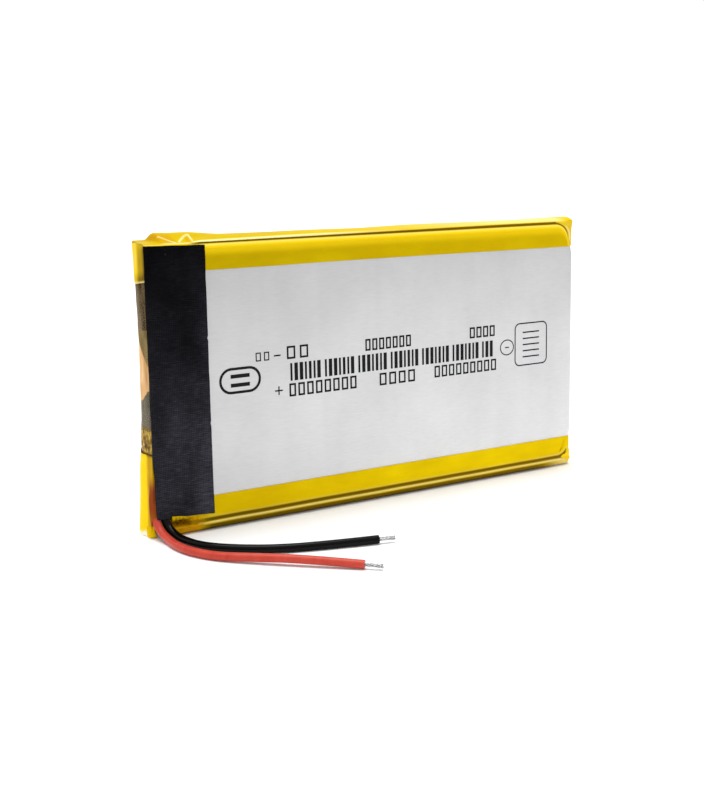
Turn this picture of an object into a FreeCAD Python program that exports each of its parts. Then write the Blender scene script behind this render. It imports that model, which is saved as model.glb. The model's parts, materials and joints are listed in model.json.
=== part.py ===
# Lithium-polymer pouch cell, size class 12 x 60 x 110 mm, standing on a long edge.
# Frame: +X along the cell's length, from the terminal end to the tail end; +Y through its
# thickness, from the printed front face to the rear face; +Z up. Origin: centre of the
# bottom long edge. All dimensions are in millimetres.
import FreeCAD, Part
import os
import math

V = FreeCAD.Vector
os.makedirs("parts", exist_ok=True)

# ---------------------------------------------------------------- driving dimensions
T_FILM = 0.15          # aluminium laminated film
T_TAPE = 0.08          # polyester side tape
FACE_Y = 5.80          # each cup's flat face, from the seam plane
CUP_X0, CUP_X1 = -48.30, 55.15
CUP_Z0, CUP_Z1 = 0.41, 59.37
WEB_Z0, WEB_Z1 = CUP_Z0 - 0.03, CUP_Z1 + 0.03   # seam web stands just proud of the cups
CUP_R = 3.5            # cup corner radius seen from the front
FACE_R = 1.8           # punch radius between face and side wall
TERRACE_X = -53.20     # outer edge of the terminal seal (terrace)
FLANGE_Y = -5.15       # raw edge of the upper folded side seal

BAND_U = 53.50         # lower edge of the upper side tape on the faces
BAND_L = 7.30          # upper edge of the lower side tape on the faces
TAPE_X0, TAPE_X1 = -55.28, 55.40
EAR_U = 50.90          # lower edge of the upper ear on the terminal end
EAR_L = 16.80          # upper edge of the lower ear on the terminal end

BLACK_X0, BLACK_X1 = -55.40, -42.30
BLACK_Z0, BLACK_Z1 = 4.00, 58.40
T_BLACK = 0.12

T_AMBER = 0.06
# plan outlines (x, y) of the terminal end, from the rear face to the front face: the wrap is
# taut between the front edge and the rear cup, so the rear of the end slants back
EAR_PLAN = [(-50.20, 5.86), (-52.00, 5.62), (-53.00, 4.95), (-53.85, 3.25), (-54.50, 1.65),
            (-55.05, 0.20), (-55.28, -1.20), (-55.28, -5.70)]
FILM_PLAN = [(-43.00, 5.86), (-50.20, 5.86), (-51.60, 5.66), (-52.66, 4.95), (-53.38, 3.25),
             (-54.05, 1.65), (-54.58, 0.30), (-54.58, -5.80), (-48.90, -5.80)]
AMBER_Z0, AMBER_Z1 = 14.50, 53.60

N_CATHODE = 25
T_CATHODE, T_ANODE, T_SEP = 0.20, 0.19, 0.025
EL_X0, EL_X1 = -43.60, 52.60
EL_Z0, EL_Z1 = 2.60, 57.00

TAB_W = 8.0
T_TAB = 0.10
TAB_POS_Z, TAB_NEG_Z = 46.50, 31.50

BOARD = (-54.10, -53.50, -5.30, -0.50, 21.00, 51.50)   # x0 x1 y0 y1 z0 z1

LEAD_D = 1.70          # insulated lead, outer diameter
CORE_D = 0.90          # tinned strands

# ---------------------------------------------------------------- helpers
def box(x0, x1, y0, y1, z0, z1):
    return Part.makeBox(x1 - x0, y1 - y0, z1 - z0, V(x0, y0, z0))

def prism_x(pts, x0, x1):
    """Closed polygon of (y, z) points, extruded from x0 to x1."""
    w = Part.makePolygon([V(x0, y, z) for y, z in pts] + [V(x0, pts[0][0], pts[0][1])])
    return Part.Face(w).extrude(V(x1 - x0, 0, 0))

def prism_z(pts, z0, z1):
    """Closed polygon of (x, y) points, extruded from z0 to z1."""
    w = Part.makePolygon([V(x, y, z0) for x, y in pts] + [V(pts[0][0], pts[0][1], z0)])
    return Part.Face(w).extrude(V(0, 0, z1 - z0))

def offset_line(pts, d):
    """Mitred offset of an open polyline, to the left of its direction."""
    out = []
    n = len(pts)
    for i in range(n):
        dirs = []
        if i > 0:
            a, b = pts[i - 1], pts[i]
            l = math.hypot(b[0] - a[0], b[1] - a[1])
            dirs.append(((b[0] - a[0]) / l, (b[1] - a[1]) / l))
        if i < n - 1:
            a, b = pts[i], pts[i + 1]
            l = math.hypot(b[0] - a[0], b[1] - a[1])
            dirs.append(((b[0] - a[0]) / l, (b[1] - a[1]) / l))
        nx = sum(-t[1] for t in dirs) / len(dirs)
        ny = sum(t[0] for t in dirs) / len(dirs)
        k = nx * nx + ny * ny
        out.append((pts[i][0] + d * nx / k, pts[i][1] + d * ny / k))
    return out

def ribbon(pts, d0, d1, x0, x1):
    """Strip between two offsets of one polyline, extruded along X."""
    a = offset_line(pts, d0)
    b = offset_line(pts, d1)
    return prism_x(a + b[::-1], x0, x1)

def rounded_block(x0, x1, y0, y1, z0, z1, corner, edge, face):
    """Block with rounded corners about Y and a rolled edge at y = face."""
    s = box(x0, x1, y0, y1, z0, z1)
    es = []
    for e in s.Edges:
        p, q = e.Vertexes[0].Point, e.Vertexes[1].Point
        if abs(p.x - q.x) < 1e-6 and abs(p.z - q.z) < 1e-6:
            es.append(e)
    s = s.makeFillet(corner, es)
    es = [e for e in s.Edges if all(abs(v.Point.y - face) < 1e-6 for v in e.Vertexes)]
    return s.makeFillet(edge, es)

def one(shape):
    """The single solid of a boolean result."""
    s = shape.removeSplitter()
    return s.Solids[0] if len(s.Solids) == 1 else s

parts = {}

def put(name, shape):
    parts[name] = shape

# ---------------------------------------------------------------- pouch film
# Each half is a drawn cup with its seal margin. The sheet folds over at the tail, seals
# along both long sides and at the terminal end, where the margin stays flat as a terrace.
def cup(sign):
    face = sign * FACE_Y
    y0, y1 = (face, 0.0) if sign < 0 else (0.0, face)
    outer = rounded_block(CUP_X0, CUP_X1, y0, y1, CUP_Z0, CUP_Z1, CUP_R, FACE_R, face)
    fi = sign * (FACE_Y - T_FILM)
    y0, y1 = (fi, 0.0) if sign < 0 else (0.0, fi)
    inner = rounded_block(CUP_X0 + T_FILM, CUP_X1 - T_FILM, y0, y1, CUP_Z0 + T_FILM,
                          CUP_Z1 - T_FILM, CUP_R - T_FILM, FACE_R - T_FILM, fi)
    return outer, inner

front_outer, front_inner = cup(-1)
rear_outer, rear_inner = cup(+1)

# folded side seals: polylines run from the seam towards the front, outer side on the left
UP_LINE = [(0.0, WEB_Z1), (-T_FILM, WEB_Z1), (-0.70, 59.60), (-2.20, 59.57), (-4.00, 59.43),
           (-4.62, 59.31), (FLANGE_Y, 59.03)]
UP_LINE = UP_LINE[::-1]                      # front to seam: left is outwards
# the lower seal is the longer one and goes on round the cup's corner
LO_LINE = [(0.0, WEB_Z0), (-4.0, WEB_Z0)] + [
    (-4.0 - 1.85 * math.sin(math.radians(a)), CUP_Z0 + FACE_R - 1.85 * math.cos(math.radians(a)))
    for a in (12, 26, 40, 54, 67, 80)]        # seam to front: left is outwards

def up(d0, d1, x0, x1):
    return ribbon(UP_LINE, d0, d1, x0, x1)

def lo(d0, d1, x0, x1):
    return ribbon(LO_LINE, d0, d1, x0, x1)

FL_X0 = TERRACE_X
web_f = box(TERRACE_X, CUP_X1, -T_FILM, 0, WEB_Z0, WEB_Z1)
web_r = box(TERRACE_X, CUP_X1, 0, T_FILM, WEB_Z0, WEB_Z1)
front = front_outer.fuse(web_f).cut(front_inner)
front = front.fuse(up(0, T_FILM, FL_X0, CUP_X1)).fuse(lo(0, T_FILM, FL_X0, CUP_X1))
rear = rear_outer.fuse(web_r).cut(rear_inner)
rear_up = up(T_FILM, 2 * T_FILM, FL_X0, CUP_X1).fuse(
    box(FL_X0, CUP_X1, 0, T_FILM, WEB_Z1 - 0.2, WEB_Z1 + 2 * T_FILM))
rear_lo = lo(T_FILM, 2 * T_FILM, FL_X0, CUP_X1).fuse(
    box(FL_X0, CUP_X1, 0, T_FILM, WEB_Z0 - 2 * T_FILM, WEB_Z0 + 0.2))
rear = rear.fuse(rear_up).fuse(rear_lo)
rear = rear.cut(front)
# the lower seal's corner is trimmed off at the terminal end, for the leads
trim = box(-60, -49.80, -8, -3.90, -1, 9)
tail_trim = prism_z([(51.80, -6.60), (56.50, -6.60), (56.50, -3.90)], -1, 3.0)
front, rear = front.cut(trim).cut(tail_trim), rear.cut(trim).cut(tail_trim)
for zc in (TAB_POS_Z, TAB_NEG_Z):
    slot = box(TERRACE_X - 1, CUP_X0 + T_FILM + 0.4, -0.10, 0.10, zc - TAB_W / 2 - 1.5,
               zc + TAB_W / 2 + 1.5)
    front = front.cut(slot)
    rear = rear.cut(slot)
front, rear = one(front), one(rear)
put("pouch_front_half", front)
put("pouch_rear_half", rear)

# ---------------------------------------------------------------- electrode stack
pitch = T_CATHODE + T_ANODE + 2 * T_SEP
total = N_CATHODE * pitch + T_ANODE + 2 * T_SEP
y_start = -total / 2

def sheet(y, t, x0, x1, z0, z1, r):
    s = box(x0, x1, y, y + t, z0, z1)
    es = [e for e in s.Edges if abs(e.Vertexes[0].Point.x - e.Vertexes[1].Point.x) < 1e-6
          and abs(e.Vertexes[0].Point.z - e.Vertexes[1].Point.z) < 1e-6]
    return s.makeFillet(r, es)

anodes, cathodes, anode_y, cathode_y, sep_y = [], [], [], [], []
y = y_start
for i in range(2 * N_CATHODE + 1):
    sep_y.append(y)
    y += T_SEP
    if i % 2 == 0:
        anodes.append(sheet(y, T_ANODE, EL_X0, EL_X1, EL_Z0, EL_Z1, 1.2))
        anode_y.append(y + T_ANODE / 2)
        y += T_ANODE
    else:
        cathodes.append(sheet(y, T_CATHODE, EL_X0, EL_X1 - 0.8, EL_Z0 + 0.8, EL_Z1 - 0.8, 1.2))
        cathode_y.append(y + T_CATHODE / 2)
        y += T_CATHODE
sep_y.append(y)
put("anode_sheets", Part.makeCompound(anodes))
put("cathode_sheets", Part.makeCompound(cathodes))

# one separator web, folded back and forth round every sheet
zl, zh = EL_Z0 - 0.25, EL_Z1 + 0.25
n = len(sep_y)
def serpentine():
    """Outline of the folded web, as two offset traces of one zigzag."""
    up_side, dn_side = [], []
    for i in range(n):
        a, b = sep_y[i], sep_y[i] + T_SEP
        if i % 2 == 0:
            # runs upward: outer trace at a, inner trace at b
            up_side += [(a, zl if i == 0 else zl), (a, zh + T_SEP)]
            dn_side += [(b, zl if i == 0 else zl - T_SEP), (b, zh)]
        else:
            # runs downward: outer trace at b above, inner trace at a
            up_side += [(b, zh + T_SEP), (b, zl)]
            dn_side += [(a, zh), (a, zl - T_SEP)]
    # close the free end of the last layer
    i = n - 1
    if i % 2 == 1:
        dn_side[-1] = (sep_y[i], zl)
    return up_side + dn_side[::-1]
put("separator_web", prism_x(serpentine(), EL_X0 - 0.5, EL_X1 + 0.3))

# bare foil tails of every sheet, gathered and welded into one block for each tab
def foil_tails(ys, zc, w):
    xt, xs, xb, xe = EL_X0, EL_X0 - 0.7, -46.80, -47.40
    m = len(ys)
    pts = [(xe, -0.36), (xb, -0.36)]
    for i, yy in enumerate(ys):
        yb = (i - (m - 1) / 2) * 0.027
        pts += [(xb, yb - 0.010), (xs, yy - 0.018), (xt, yy - 0.018), (xt, yy + 0.018),
                (xs, yy + 0.018), (xb, yb + 0.010)]
    pts += [(xb, 0.36), (xe, 0.36)]
    return prism_z(pts, zc - w / 2, zc + w / 2)
put("cathode_foil_tails", foil_tails(cathode_y, TAB_POS_Z, TAB_W))
put("anode_foil_tails", foil_tails(anode_y, TAB_NEG_Z, TAB_W))

# strips of tape that bind the stack over its tail end
binders = []
yo, yi = total / 2 + 0.02, total / 2
for zc in (14.0, 30.4, 46.8):
    s = box(EL_X1 - 9, EL_X1 + 0.32, -yo, yo, zc - 4, zc + 4).cut(
        box(EL_X1 - 10, EL_X1 + 0.30, -yi, yi, zc - 5, zc + 5))
    binders.append(one(s))
put("stack_binding_tapes", Part.makeCompound(binders))

# ---------------------------------------------------------------- tabs
def tab(zc):
    h = T_TAB / 2
    leg = box(-54.35, -47.40, -h, h, zc - TAB_W / 2, zc + TAB_W / 2)
    fold = box(-54.35, -54.25, -3.60, h, zc - TAB_W / 2, zc + TAB_W / 2)
    return one(leg.fuse(fold))

def sealant(zc):
    s = box(-53.75, CUP_X0 + T_FILM + 0.4, -0.10, 0.10, zc - TAB_W / 2 - 1.5,
            zc + TAB_W / 2 + 1.5)
    return one(s.cut(box(-56, -40, -T_TAB / 2, T_TAB / 2, zc - TAB_W / 2, zc + TAB_W / 2)))

put("positive_tab", tab(TAB_POS_Z))
put("negative_tab", tab(TAB_NEG_Z))
put("positive_tab_sealant", sealant(TAB_POS_Z))
put("negative_tab_sealant", sealant(TAB_NEG_Z))

# ---------------------------------------------------------------- protection board
bx0, bx1, by0, by1, bz0, bz1 = BOARD
b = box(*BOARD)
b = b.makeFillet(0.5, [e for e in b.Edges if abs(e.Vertexes[0].Point.y - e.Vertexes[1].Point.y) < 1e-6
                       and abs(e.Vertexes[0].Point.z - e.Vertexes[1].Point.z) < 1e-6])
put("protection_board", b)
put("board_positive_strip", box(bx0 - 0.15, bx0, -4.70, -1.00, TAB_POS_Z - 2.6, TAB_POS_Z + 2.6))
put("board_negative_strip", box(bx0 - 0.15, bx0, -4.70, -1.00, TAB_NEG_Z - 2.6, TAB_NEG_Z + 2.6))

def leaded_chip(x, yc, zc, ly, lz, h, legs, span):
    """Moulded package on the board's inner face, with gull-wing legs on its two z sides."""
    body = box(x + 0.08, x + h, yc - ly / 2, yc + ly / 2, zc - lz / 2, zc + lz / 2)
    body = body.makeChamfer(0.08, [e for e in body.Edges
                                   if all(abs(v.Point.x - (x + h)) < 1e-6 for v in e.Vertexes)])
    solids = [body]
    for k in range(legs):
        yy = yc + (k - (legs - 1) / 2) * span
        for s in (-1, 1):
            z_in = zc + s * lz / 2
            z_out = zc + s * (lz / 2 + 0.75)
            a, c = sorted((z_in, z_out))
            foot = box(x, x + 0.12, yy - 0.14, yy + 0.14, *sorted((zc + s * (lz / 2 + 0.30), z_out)))
            riser = box(x, x + 0.50, yy - 0.14, yy + 0.14,
                        *sorted((zc + s * (lz / 2 + 0.18), zc + s * (lz / 2 + 0.30))))
            arm = box(x + 0.38, x + 0.50, yy - 0.14, yy + 0.14,
                      *sorted((z_in, zc + s * (lz / 2 + 0.30))))
            solids.append(one(foot.fuse(riser).fuse(arm)))
    return solids

put("protection_chip", Part.makeCompound(leaded_chip(bx1, -2.9, 36.6, 2.9, 1.6, 1.1, 3, 0.95)))
put("switch_chips", Part.makeCompound(
    leaded_chip(bx1, -2.9, 30.2, 3.0, 4.4, 1.0, 4, 0.65)
    + leaded_chip(bx1, -2.9, 43.4, 3.0, 4.4, 1.0, 4, 0.65)))

def chip_part(x, yc, zc, body_l, w, h):
    """Body of a small surface-mount part and its two end caps, stacked along Z."""
    cap = 0.28
    mid = box(x, x + h, yc - w / 2, yc + w / 2, zc - body_l / 2 + cap, zc + body_l / 2 - cap)
    c1 = box(x, x + h + 0.02, yc - w / 2 - 0.02, yc + w / 2 + 0.02, zc - body_l / 2, zc - body_l / 2 + cap)
    c2 = box(x, x + h + 0.02, yc - w / 2 - 0.02, yc + w / 2 + 0.02, zc + body_l / 2 - cap, zc + body_l / 2)
    return mid, [c1, c2]

res, caps_, terms = [], [], []
for yc, zc in ((-4.3, 39.3), (-1.6, 39.3)):
    m, t = chip_part(bx1, yc, zc, 1.6, 0.8, 0.45)
    res.append(m)
    terms += t
for yc, zc in ((-1.4, 34.0), (-4.4, 34.0)):
    m, t = chip_part(bx1, yc, zc, 1.6, 0.8, 0.80)
    caps_.append(m)
    terms += t
put("resistors", Part.makeCompound(res))
put("capacitors", Part.makeCompound(caps_))
put("chip_end_caps", Part.makeCompound(terms))

put("lead_pads", Part.makeCompound([
    box(bx1, bx1 + 0.05, -5.05, -3.35, 21.6, 25.2),
    box(bx1, bx1 + 0.05, -3.05, -1.35, 21.6, 25.2)]))

# insulation over the board's outer face
put("board_dark_patch", box(-54.47, -54.35, -5.45, -0.20, 42.00, 51.30))
put("board_paper_strip", box(-54.49, -54.37, -5.40, -0.35, 35.30, 41.70))
put("board_lower_patch", box(-54.22, bx0, -5.30, -0.50, 22.30, 27.30))

# ---------------------------------------------------------------- leads
# Straight runs joined by tangent arcs; each arc takes 0.45 of its shorter run.
RED_ROUTE = [(-53.00, -4.20, 20.50), (-53.45, -4.30, 16.30), (-54.45, -4.45, 12.20),
             (-55.00, -4.55, 8.00), (-55.02, -4.80, 4.50), (-54.75, -6.35, 2.05),
             (-54.35, -9.60, 0.90), (-54.75, -14.40, 0.86), (-53.95, -19.70, 0.90),
             (-51.30, -25.10, 0.92), (-46.40, -30.40, 1.20), (-39.60, -37.20, 1.45),
             (-31.20, -45.30, 0.95)]
BLACK_ROUTE = [(-53.00, -2.20, 20.50), (-52.55, -2.70, 16.40), (-52.30, -3.80, 12.20),
               (-52.95, -4.70, 8.20), (-53.22, -4.88, 4.75), (-52.90, -6.40, 2.40),
               (-52.15, -9.30, 0.95), (-51.75, -13.20, 0.86), (-50.30, -18.00, 0.90),
               (-46.10, -22.80, 0.90), (-39.30, -27.60, 0.90), (-30.20, -30.90, 0.90),
               (-20.30, -33.60, 0.95)]

def lead(name, route, d):
    pts = [V(*p) for p in route]
    edges, cur = [], pts[0]
    radii = []
    for i in range(1, len(pts) - 1):
        a, p, c = pts[i - 1], pts[i], pts[i + 1]
        u, w = (a - p), (c - p)
        lu, lw = u.Length, w.Length
        u, w = u.multiply(1 / lu), w.multiply(1 / lw)
        turn = math.pi - u.getAngle(w)
        t = 0.45 * min(lu, lw)
        r = t / math.tan(turn / 2)
        radii.append(r)
        s, e = p + u * t, p + w * t
        bis = (u + w)
        bis.normalize()
        centre = p + bis * math.hypot(r, t)
        mid = centre - bis * r
        edges.append(Part.LineSegment(cur, s).toShape())
        edges.append(Part.Arc(s, mid, e).toShape())
        cur = e
    edges.append(Part.LineSegment(cur, pts[-1]).toShape())
    wire = Part.Wire(edges)
    start = pts[1] - pts[0]
    prof = Part.Wire([Part.Circle(pts[0], start, d / 2).toShape()])
    tube = wire.makePipeShell([prof], True, True)
    runs = [(pts[i + 1] - pts[i]).Length for i in range(len(pts) - 1)]
    print(name, "length %.2f" % wire.Length, "volume %.2f against %.2f" %
          (tube.Volume, math.pi * d * d / 4 * wire.Length), "valid", tube.isValid(),
          "radii", ["%.1f" % r for r in radii], "runs", ["%.1f" % r for r in runs])
    return tube

put("red_lead", lead("red_lead", RED_ROUTE, LEAD_D))
put("black_lead", lead("black_lead", BLACK_ROUTE, LEAD_D))

def bare_end(route, length):
    a, b = V(*route[-2]), V(*route[-1])
    d = b - a
    d.normalize()
    return Part.makeCylinder(CORE_D / 2, length, b, d)
put("red_lead_bare_end", bare_end(RED_ROUTE, 3.5))
put("black_lead_bare_end", bare_end(BLACK_ROUTE, 3.5))

joints = []
for route in (RED_ROUTE, BLACK_ROUTE):
    x, yy, z = route[0]
    stub = Part.makeCylinder(CORE_D / 2, 3.4, V(x, yy, z), V(0, 0, 1))
    blob = Part.makeSphere(1.0)
    mtx = FreeCAD.Matrix()
    mtx.scale(0.75, 0.78, 1.5)
    blob = blob.transformGeometry(mtx)
    blob.translate(V(bx1 + 0.05, yy, 23.3))
    j = stub.fuse(blob)
    j = j.cut(box(-60, bx1 + 0.05, -8, 2, 15, 30)).cut(parts["red_lead"]).cut(parts["black_lead"])
    joints.append(one(j))
put("lead_solder_joints", Part.makeCompound(joints))

# ---------------------------------------------------------------- side tapes
def arc_pts(cy, cz, r, a0, a1, k):
    return [(cy + r * math.cos(math.radians(a0 + (a1 - a0) * i / k)),
             cz + r * math.sin(math.radians(a0 + (a1 - a0) * i / k))) for i in range(k + 1)]

yc = FACE_Y - FACE_R
up_out = offset_line(UP_LINE, 2 * T_FILM)[::-1]        # seam to raw edge
lo_out = offset_line(LO_LINE, 2 * T_FILM)
U_PATH = ([(FACE_Y, BAND_U)] + arc_pts(yc, CUP_Z1 - FACE_R, FACE_R, 0, 90, 6)
          + [(0.75, CUP_Z1), (T_FILM, WEB_Z1 + 2 * T_FILM)] + up_out[1:]
          + arc_pts(-yc, CUP_Z1 - FACE_R, FACE_R, 141, 180, 3) + [(-FACE_Y, BAND_U)])
L_PATH = ([(FACE_Y, BAND_L)] + arc_pts(yc, CUP_Z0 + FACE_R, FACE_R, 0, -90, 6)
          + [(0.75, CUP_Z0), (T_FILM, WEB_Z0 - 2 * T_FILM)] + lo_out[1:]
          + [(-FACE_Y - 0.03, 2.55), (-FACE_Y, 2.85), (-FACE_Y, BAND_L)])

solid_core = front_outer.fuse(rear_outer)
flanges = front.fuse(rear)

def side_tape(path, outward):
    s = ribbon(path, outward * T_TAPE, -outward * 0.06, TAPE_X0, TAPE_X1)
    return s.cut(solid_core).cut(front).cut(rear)

u_tape = side_tape(U_PATH, -1)
l_tape = side_tape(L_PATH, +1)

# ears folded over the terminal end, and short tucks at the tail
def plan_shell(line, d0, d1, z0, z1):
    """Wall between two offsets of a plan outline, from z0 to z1."""
    a = offset_line(line, d0)
    b = offset_line(line, d1)
    return prism_z(a + b[::-1], z0, z1)

inside_plan = prism_z(EAR_PLAN + [(-50.20, -5.70)], -2, 63).fuse(box(-56, -50.20, -8, -5.69, -2, 63))
outside_plan = box(-57, -50.20, -8, 8, -1, 62).cut(inside_plan)
u_tape = u_tape.cut(outside_plan)
l_tape = l_tape.cut(outside_plan)
ear_u = plan_shell(EAR_PLAN, 0, T_TAPE, EAR_U, 59.50)
u_tape = u_tape.fuse(ear_u).fuse(box(TAPE_X1 - T_TAPE, TAPE_X1, -5.40, 5.86, 55.0, 59.30))
ear_full = plan_shell(EAR_PLAN, 0, T_TAPE, 0.05, EAR_L)
ear_l = ear_full.cut(box(-56, -49, -5.9, -3.55, 0, 9.5)).cut(box(-56, -50.5, -0.60, 5.3, 0, 1.5))
l_tape = l_tape.fuse(ear_l).fuse(box(TAPE_X1 - T_TAPE, TAPE_X1, -5.30, 5.86, 0.20, 5.8))
l_tape = l_tape.cut(tail_trim)
# the lower tape is slit at the terminal corner, where both leads come out
l_tape = l_tape.cut(box(-56, -49.80, -7.0, -3.90, 0.12, 9.5))

red_clear = lead("red_clearance", RED_ROUTE, LEAD_D + 0.10)
black_clear = lead("black_clearance", BLACK_ROUTE, LEAD_D + 0.10)
red_bulge = lead("red_bulge", RED_ROUTE, LEAD_D + 0.10 + 2 * T_TAPE)
bulge = red_bulge.common(box(-57, TAPE_X0 + 0.04, -7, -2, 6.2, 15.5)).cut(red_clear)
l_tape = l_tape.fuse(bulge).cut(red_clear)
l_tape = l_tape.cut(black_clear)
def biggest(s):
    so = sorted(s.removeSplitter().Solids, key=lambda q: -q.Volume)
    print("solids kept of", len(so), ["%.3f" % q.Volume for q in so[:4]])
    return so[0]
u_tape, l_tape = biggest(u_tape), biggest(l_tape)
put("side_tape_upper", u_tape)
put("side_tape_lower", l_tape)

# ---------------------------------------------------------------- end film and black tape
film = plan_shell(FILM_PLAN, 0, T_AMBER, AMBER_Z0, AMBER_Z1)
film = film.fuse(plan_shell(FILM_PLAN[:3], 0, T_AMBER, BAND_L - 0.5, AMBER_Z1))
film = film.cut(u_tape).cut(l_tape).cut(red_clear)
put("amber_end_film", biggest(film))

low = box(BLACK_X0, BLACK_X1, -FACE_Y - T_BLACK, -FACE_Y, BAND_L, BAND_U)
band = box(BLACK_X0, BLACK_X1, -FACE_Y - T_TAPE - T_BLACK, -FACE_Y - T_TAPE, BLACK_Z0, BAND_L)
band2 = box(BLACK_X0, BLACK_X1, -FACE_Y - T_TAPE - T_BLACK, -FACE_Y - T_TAPE, BAND_U, BLACK_Z1)
black = low.fuse(band).fuse(band2)
black = black.fuse(box(BLACK_X0, BLACK_X1, -FACE_Y - T_TAPE - T_BLACK, -FACE_Y - T_TAPE, BAND_L - 0.1, BAND_L + 0.5))
black = black.fuse(box(BLACK_X0, BLACK_X1, -FACE_Y - T_TAPE - T_BLACK, -FACE_Y - T_TAPE, BAND_U - 0.5, BAND_U + 0.1))
black = black.cut(u_tape).cut(l_tape).cut(film).cut(red_clear).cut(black_clear)
put("black_end_tape", biggest(black))

# ---------------------------------------------------------------- write
for name, shape in parts.items():
    shape.exportStep("parts/%s.step" % name)
    bb = shape.optimalBoundingBox(True, False)
    print("%-22s solids %3d valid %s  x %.2f %.2f  y %.2f %.2f  z %.2f %.2f  vol %.1f" % (
        name, len(shape.Solids), shape.isValid(), bb.XMin, bb.XMax, bb.YMin, bb.YMax,
        bb.ZMin, bb.ZMax, shape.Volume))
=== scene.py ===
# Pouch battery cell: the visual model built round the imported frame. Metres throughout;
# lengths in the tables below are millimetres and are scaled by MM.
import json
import math
import bpy
from mathutils import Matrix, Vector, noise


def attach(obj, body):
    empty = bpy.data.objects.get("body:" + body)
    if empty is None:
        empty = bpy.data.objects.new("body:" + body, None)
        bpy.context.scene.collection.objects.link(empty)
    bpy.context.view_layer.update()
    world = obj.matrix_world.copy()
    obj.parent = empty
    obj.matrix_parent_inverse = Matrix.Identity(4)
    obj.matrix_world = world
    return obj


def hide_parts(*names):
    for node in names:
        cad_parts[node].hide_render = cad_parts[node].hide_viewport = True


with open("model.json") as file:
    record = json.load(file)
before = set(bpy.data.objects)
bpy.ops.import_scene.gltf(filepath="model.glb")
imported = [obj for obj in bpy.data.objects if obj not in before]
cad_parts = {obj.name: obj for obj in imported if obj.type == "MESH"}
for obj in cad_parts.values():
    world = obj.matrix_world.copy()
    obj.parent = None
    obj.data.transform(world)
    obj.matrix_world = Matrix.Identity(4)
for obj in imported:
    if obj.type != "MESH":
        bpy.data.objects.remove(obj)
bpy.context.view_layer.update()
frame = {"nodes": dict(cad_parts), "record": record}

MM = 0.001
scene = bpy.context.scene
NODES = frame["nodes"]

# ------------------------------------------------------------------ camera
YAW, PITCH, ROLL = 31.7456, 9.0708, -1.0717
cy_, sy_ = math.cos(math.radians(YAW)), math.sin(math.radians(YAW))
cp_, sp_ = math.cos(math.radians(PITCH)), math.sin(math.radians(PITCH))
cr_, sr_ = math.cos(math.radians(ROLL)), math.sin(math.radians(ROLL))
fwd = Vector((sy_ * cp_, cy_ * cp_, -sp_))
right = Vector((cy_, -sy_, 0.0))
up = right.cross(fwd)
cam_r = right * cr_ + up * sr_
cam_u = up * cr_ - right * sr_
cam_data = bpy.data.cameras.new("camera")
cam = bpy.data.objects.new("camera", cam_data)
scene.collection.objects.link(cam)
m = Matrix((
    (cam_r.x, cam_u.x, -fwd.x, -0.154127),
    (cam_r.y, cam_u.y, -fwd.y, -0.235003),
    (cam_r.z, cam_u.z, -fwd.z, 0.074138),
    (0, 0, 0, 1)))
cam.matrix_world = m
cam_data.sensor_width = 36.0
cam_data.lens = 58.230
cam_data.shift_x = 0.02098
cam_data.shift_y = -0.03564
cam_data.clip_start = 0.01
cam_data.clip_end = 50
scene.camera = cam
scene.view_settings.view_transform = "Standard"

# ------------------------------------------------------------------ node helpers
def new_mat(name):
    mt = bpy.data.materials.new(name)
    mt.use_nodes = True
    nt = mt.node_tree
    nt.nodes.clear()
    out = nt.nodes.new("ShaderNodeOutputMaterial")
    b = nt.nodes.new("ShaderNodeBsdfPrincipled")
    nt.links.new(b.outputs[0], out.inputs[0])
    return mt, nt, b

def N(nt, kind, **kw):
    n = nt.nodes.new("ShaderNode" + kind)
    for k, v in kw.items():
        if k.startswith("i_"):
            key = k[2:]
            key = int(key) if key.isdigit() else key.replace("_", " ")
            n.inputs[key].default_value = v
        else:
            setattr(n, k, v)
    return n

def L(nt, a, b, oi=0, ii=0):
    o = a.outputs[oi] if not hasattr(a, "is_output") else a
    nt.links.new(o, b.inputs[ii])

def obj_coords(nt, scale=(1, 1, 1), rot=(0, 0, 0), loc=(0, 0, 0)):
    tc = N(nt, "TexCoord")
    mp = N(nt, "Mapping")
    mp.inputs["Scale"].default_value = scale
    mp.inputs["Rotation"].default_value = rot
    mp.inputs["Location"].default_value = loc
    nt.links.new(tc.outputs["Object"], mp.inputs["Vector"])
    return mp

def tex_noise(nt, vec, scale, detail=3.0, rough=0.55, dist=0.0):
    n = N(nt, "TexNoise")
    n.inputs["Scale"].default_value = scale
    n.inputs["Detail"].default_value = detail
    n.inputs["Roughness"].default_value = rough
    n.inputs["Distortion"].default_value = dist
    nt.links.new(vec.outputs[0], n.inputs["Vector"])
    return n

def ramp(nt, src, stops, oi=0, interp="LINEAR"):
    r = N(nt, "ValToRGB")
    r.color_ramp.interpolation = interp
    els = r.color_ramp.elements
    while len(els) < len(stops):
        els.new(0.5)
    for e, (p, c) in zip(els, stops):
        e.position = p
        e.color = (c if len(c) == 4 else (*c, 1.0)) if hasattr(c, "__len__") else (c, c, c, 1.0)
    nt.links.new(src.outputs[oi], r.inputs[0])
    return r

def mix(nt, fac, a, b, mode="MIX"):
    """fac, a and b are numbers, colours, or (node, output index) pairs."""
    n = N(nt, "Mix", data_type="RGBA", blend_type=mode)
    def put(sock, v):
        if isinstance(v, tuple) and len(v) == 2 and hasattr(v[0], "outputs"):
            nt.links.new(v[0].outputs[v[1]], sock)
        elif hasattr(v, "outputs"):
            nt.links.new(v.outputs[0], sock)
        elif hasattr(v, "__len__"):
            sock.default_value = v if len(v) == 4 else (*v, 1.0)
        else:
            sock.default_value = v
    put(n.inputs[0], fac)
    put(n.inputs[6], a)
    put(n.inputs[7], b)
    return (n, 2)

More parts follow.
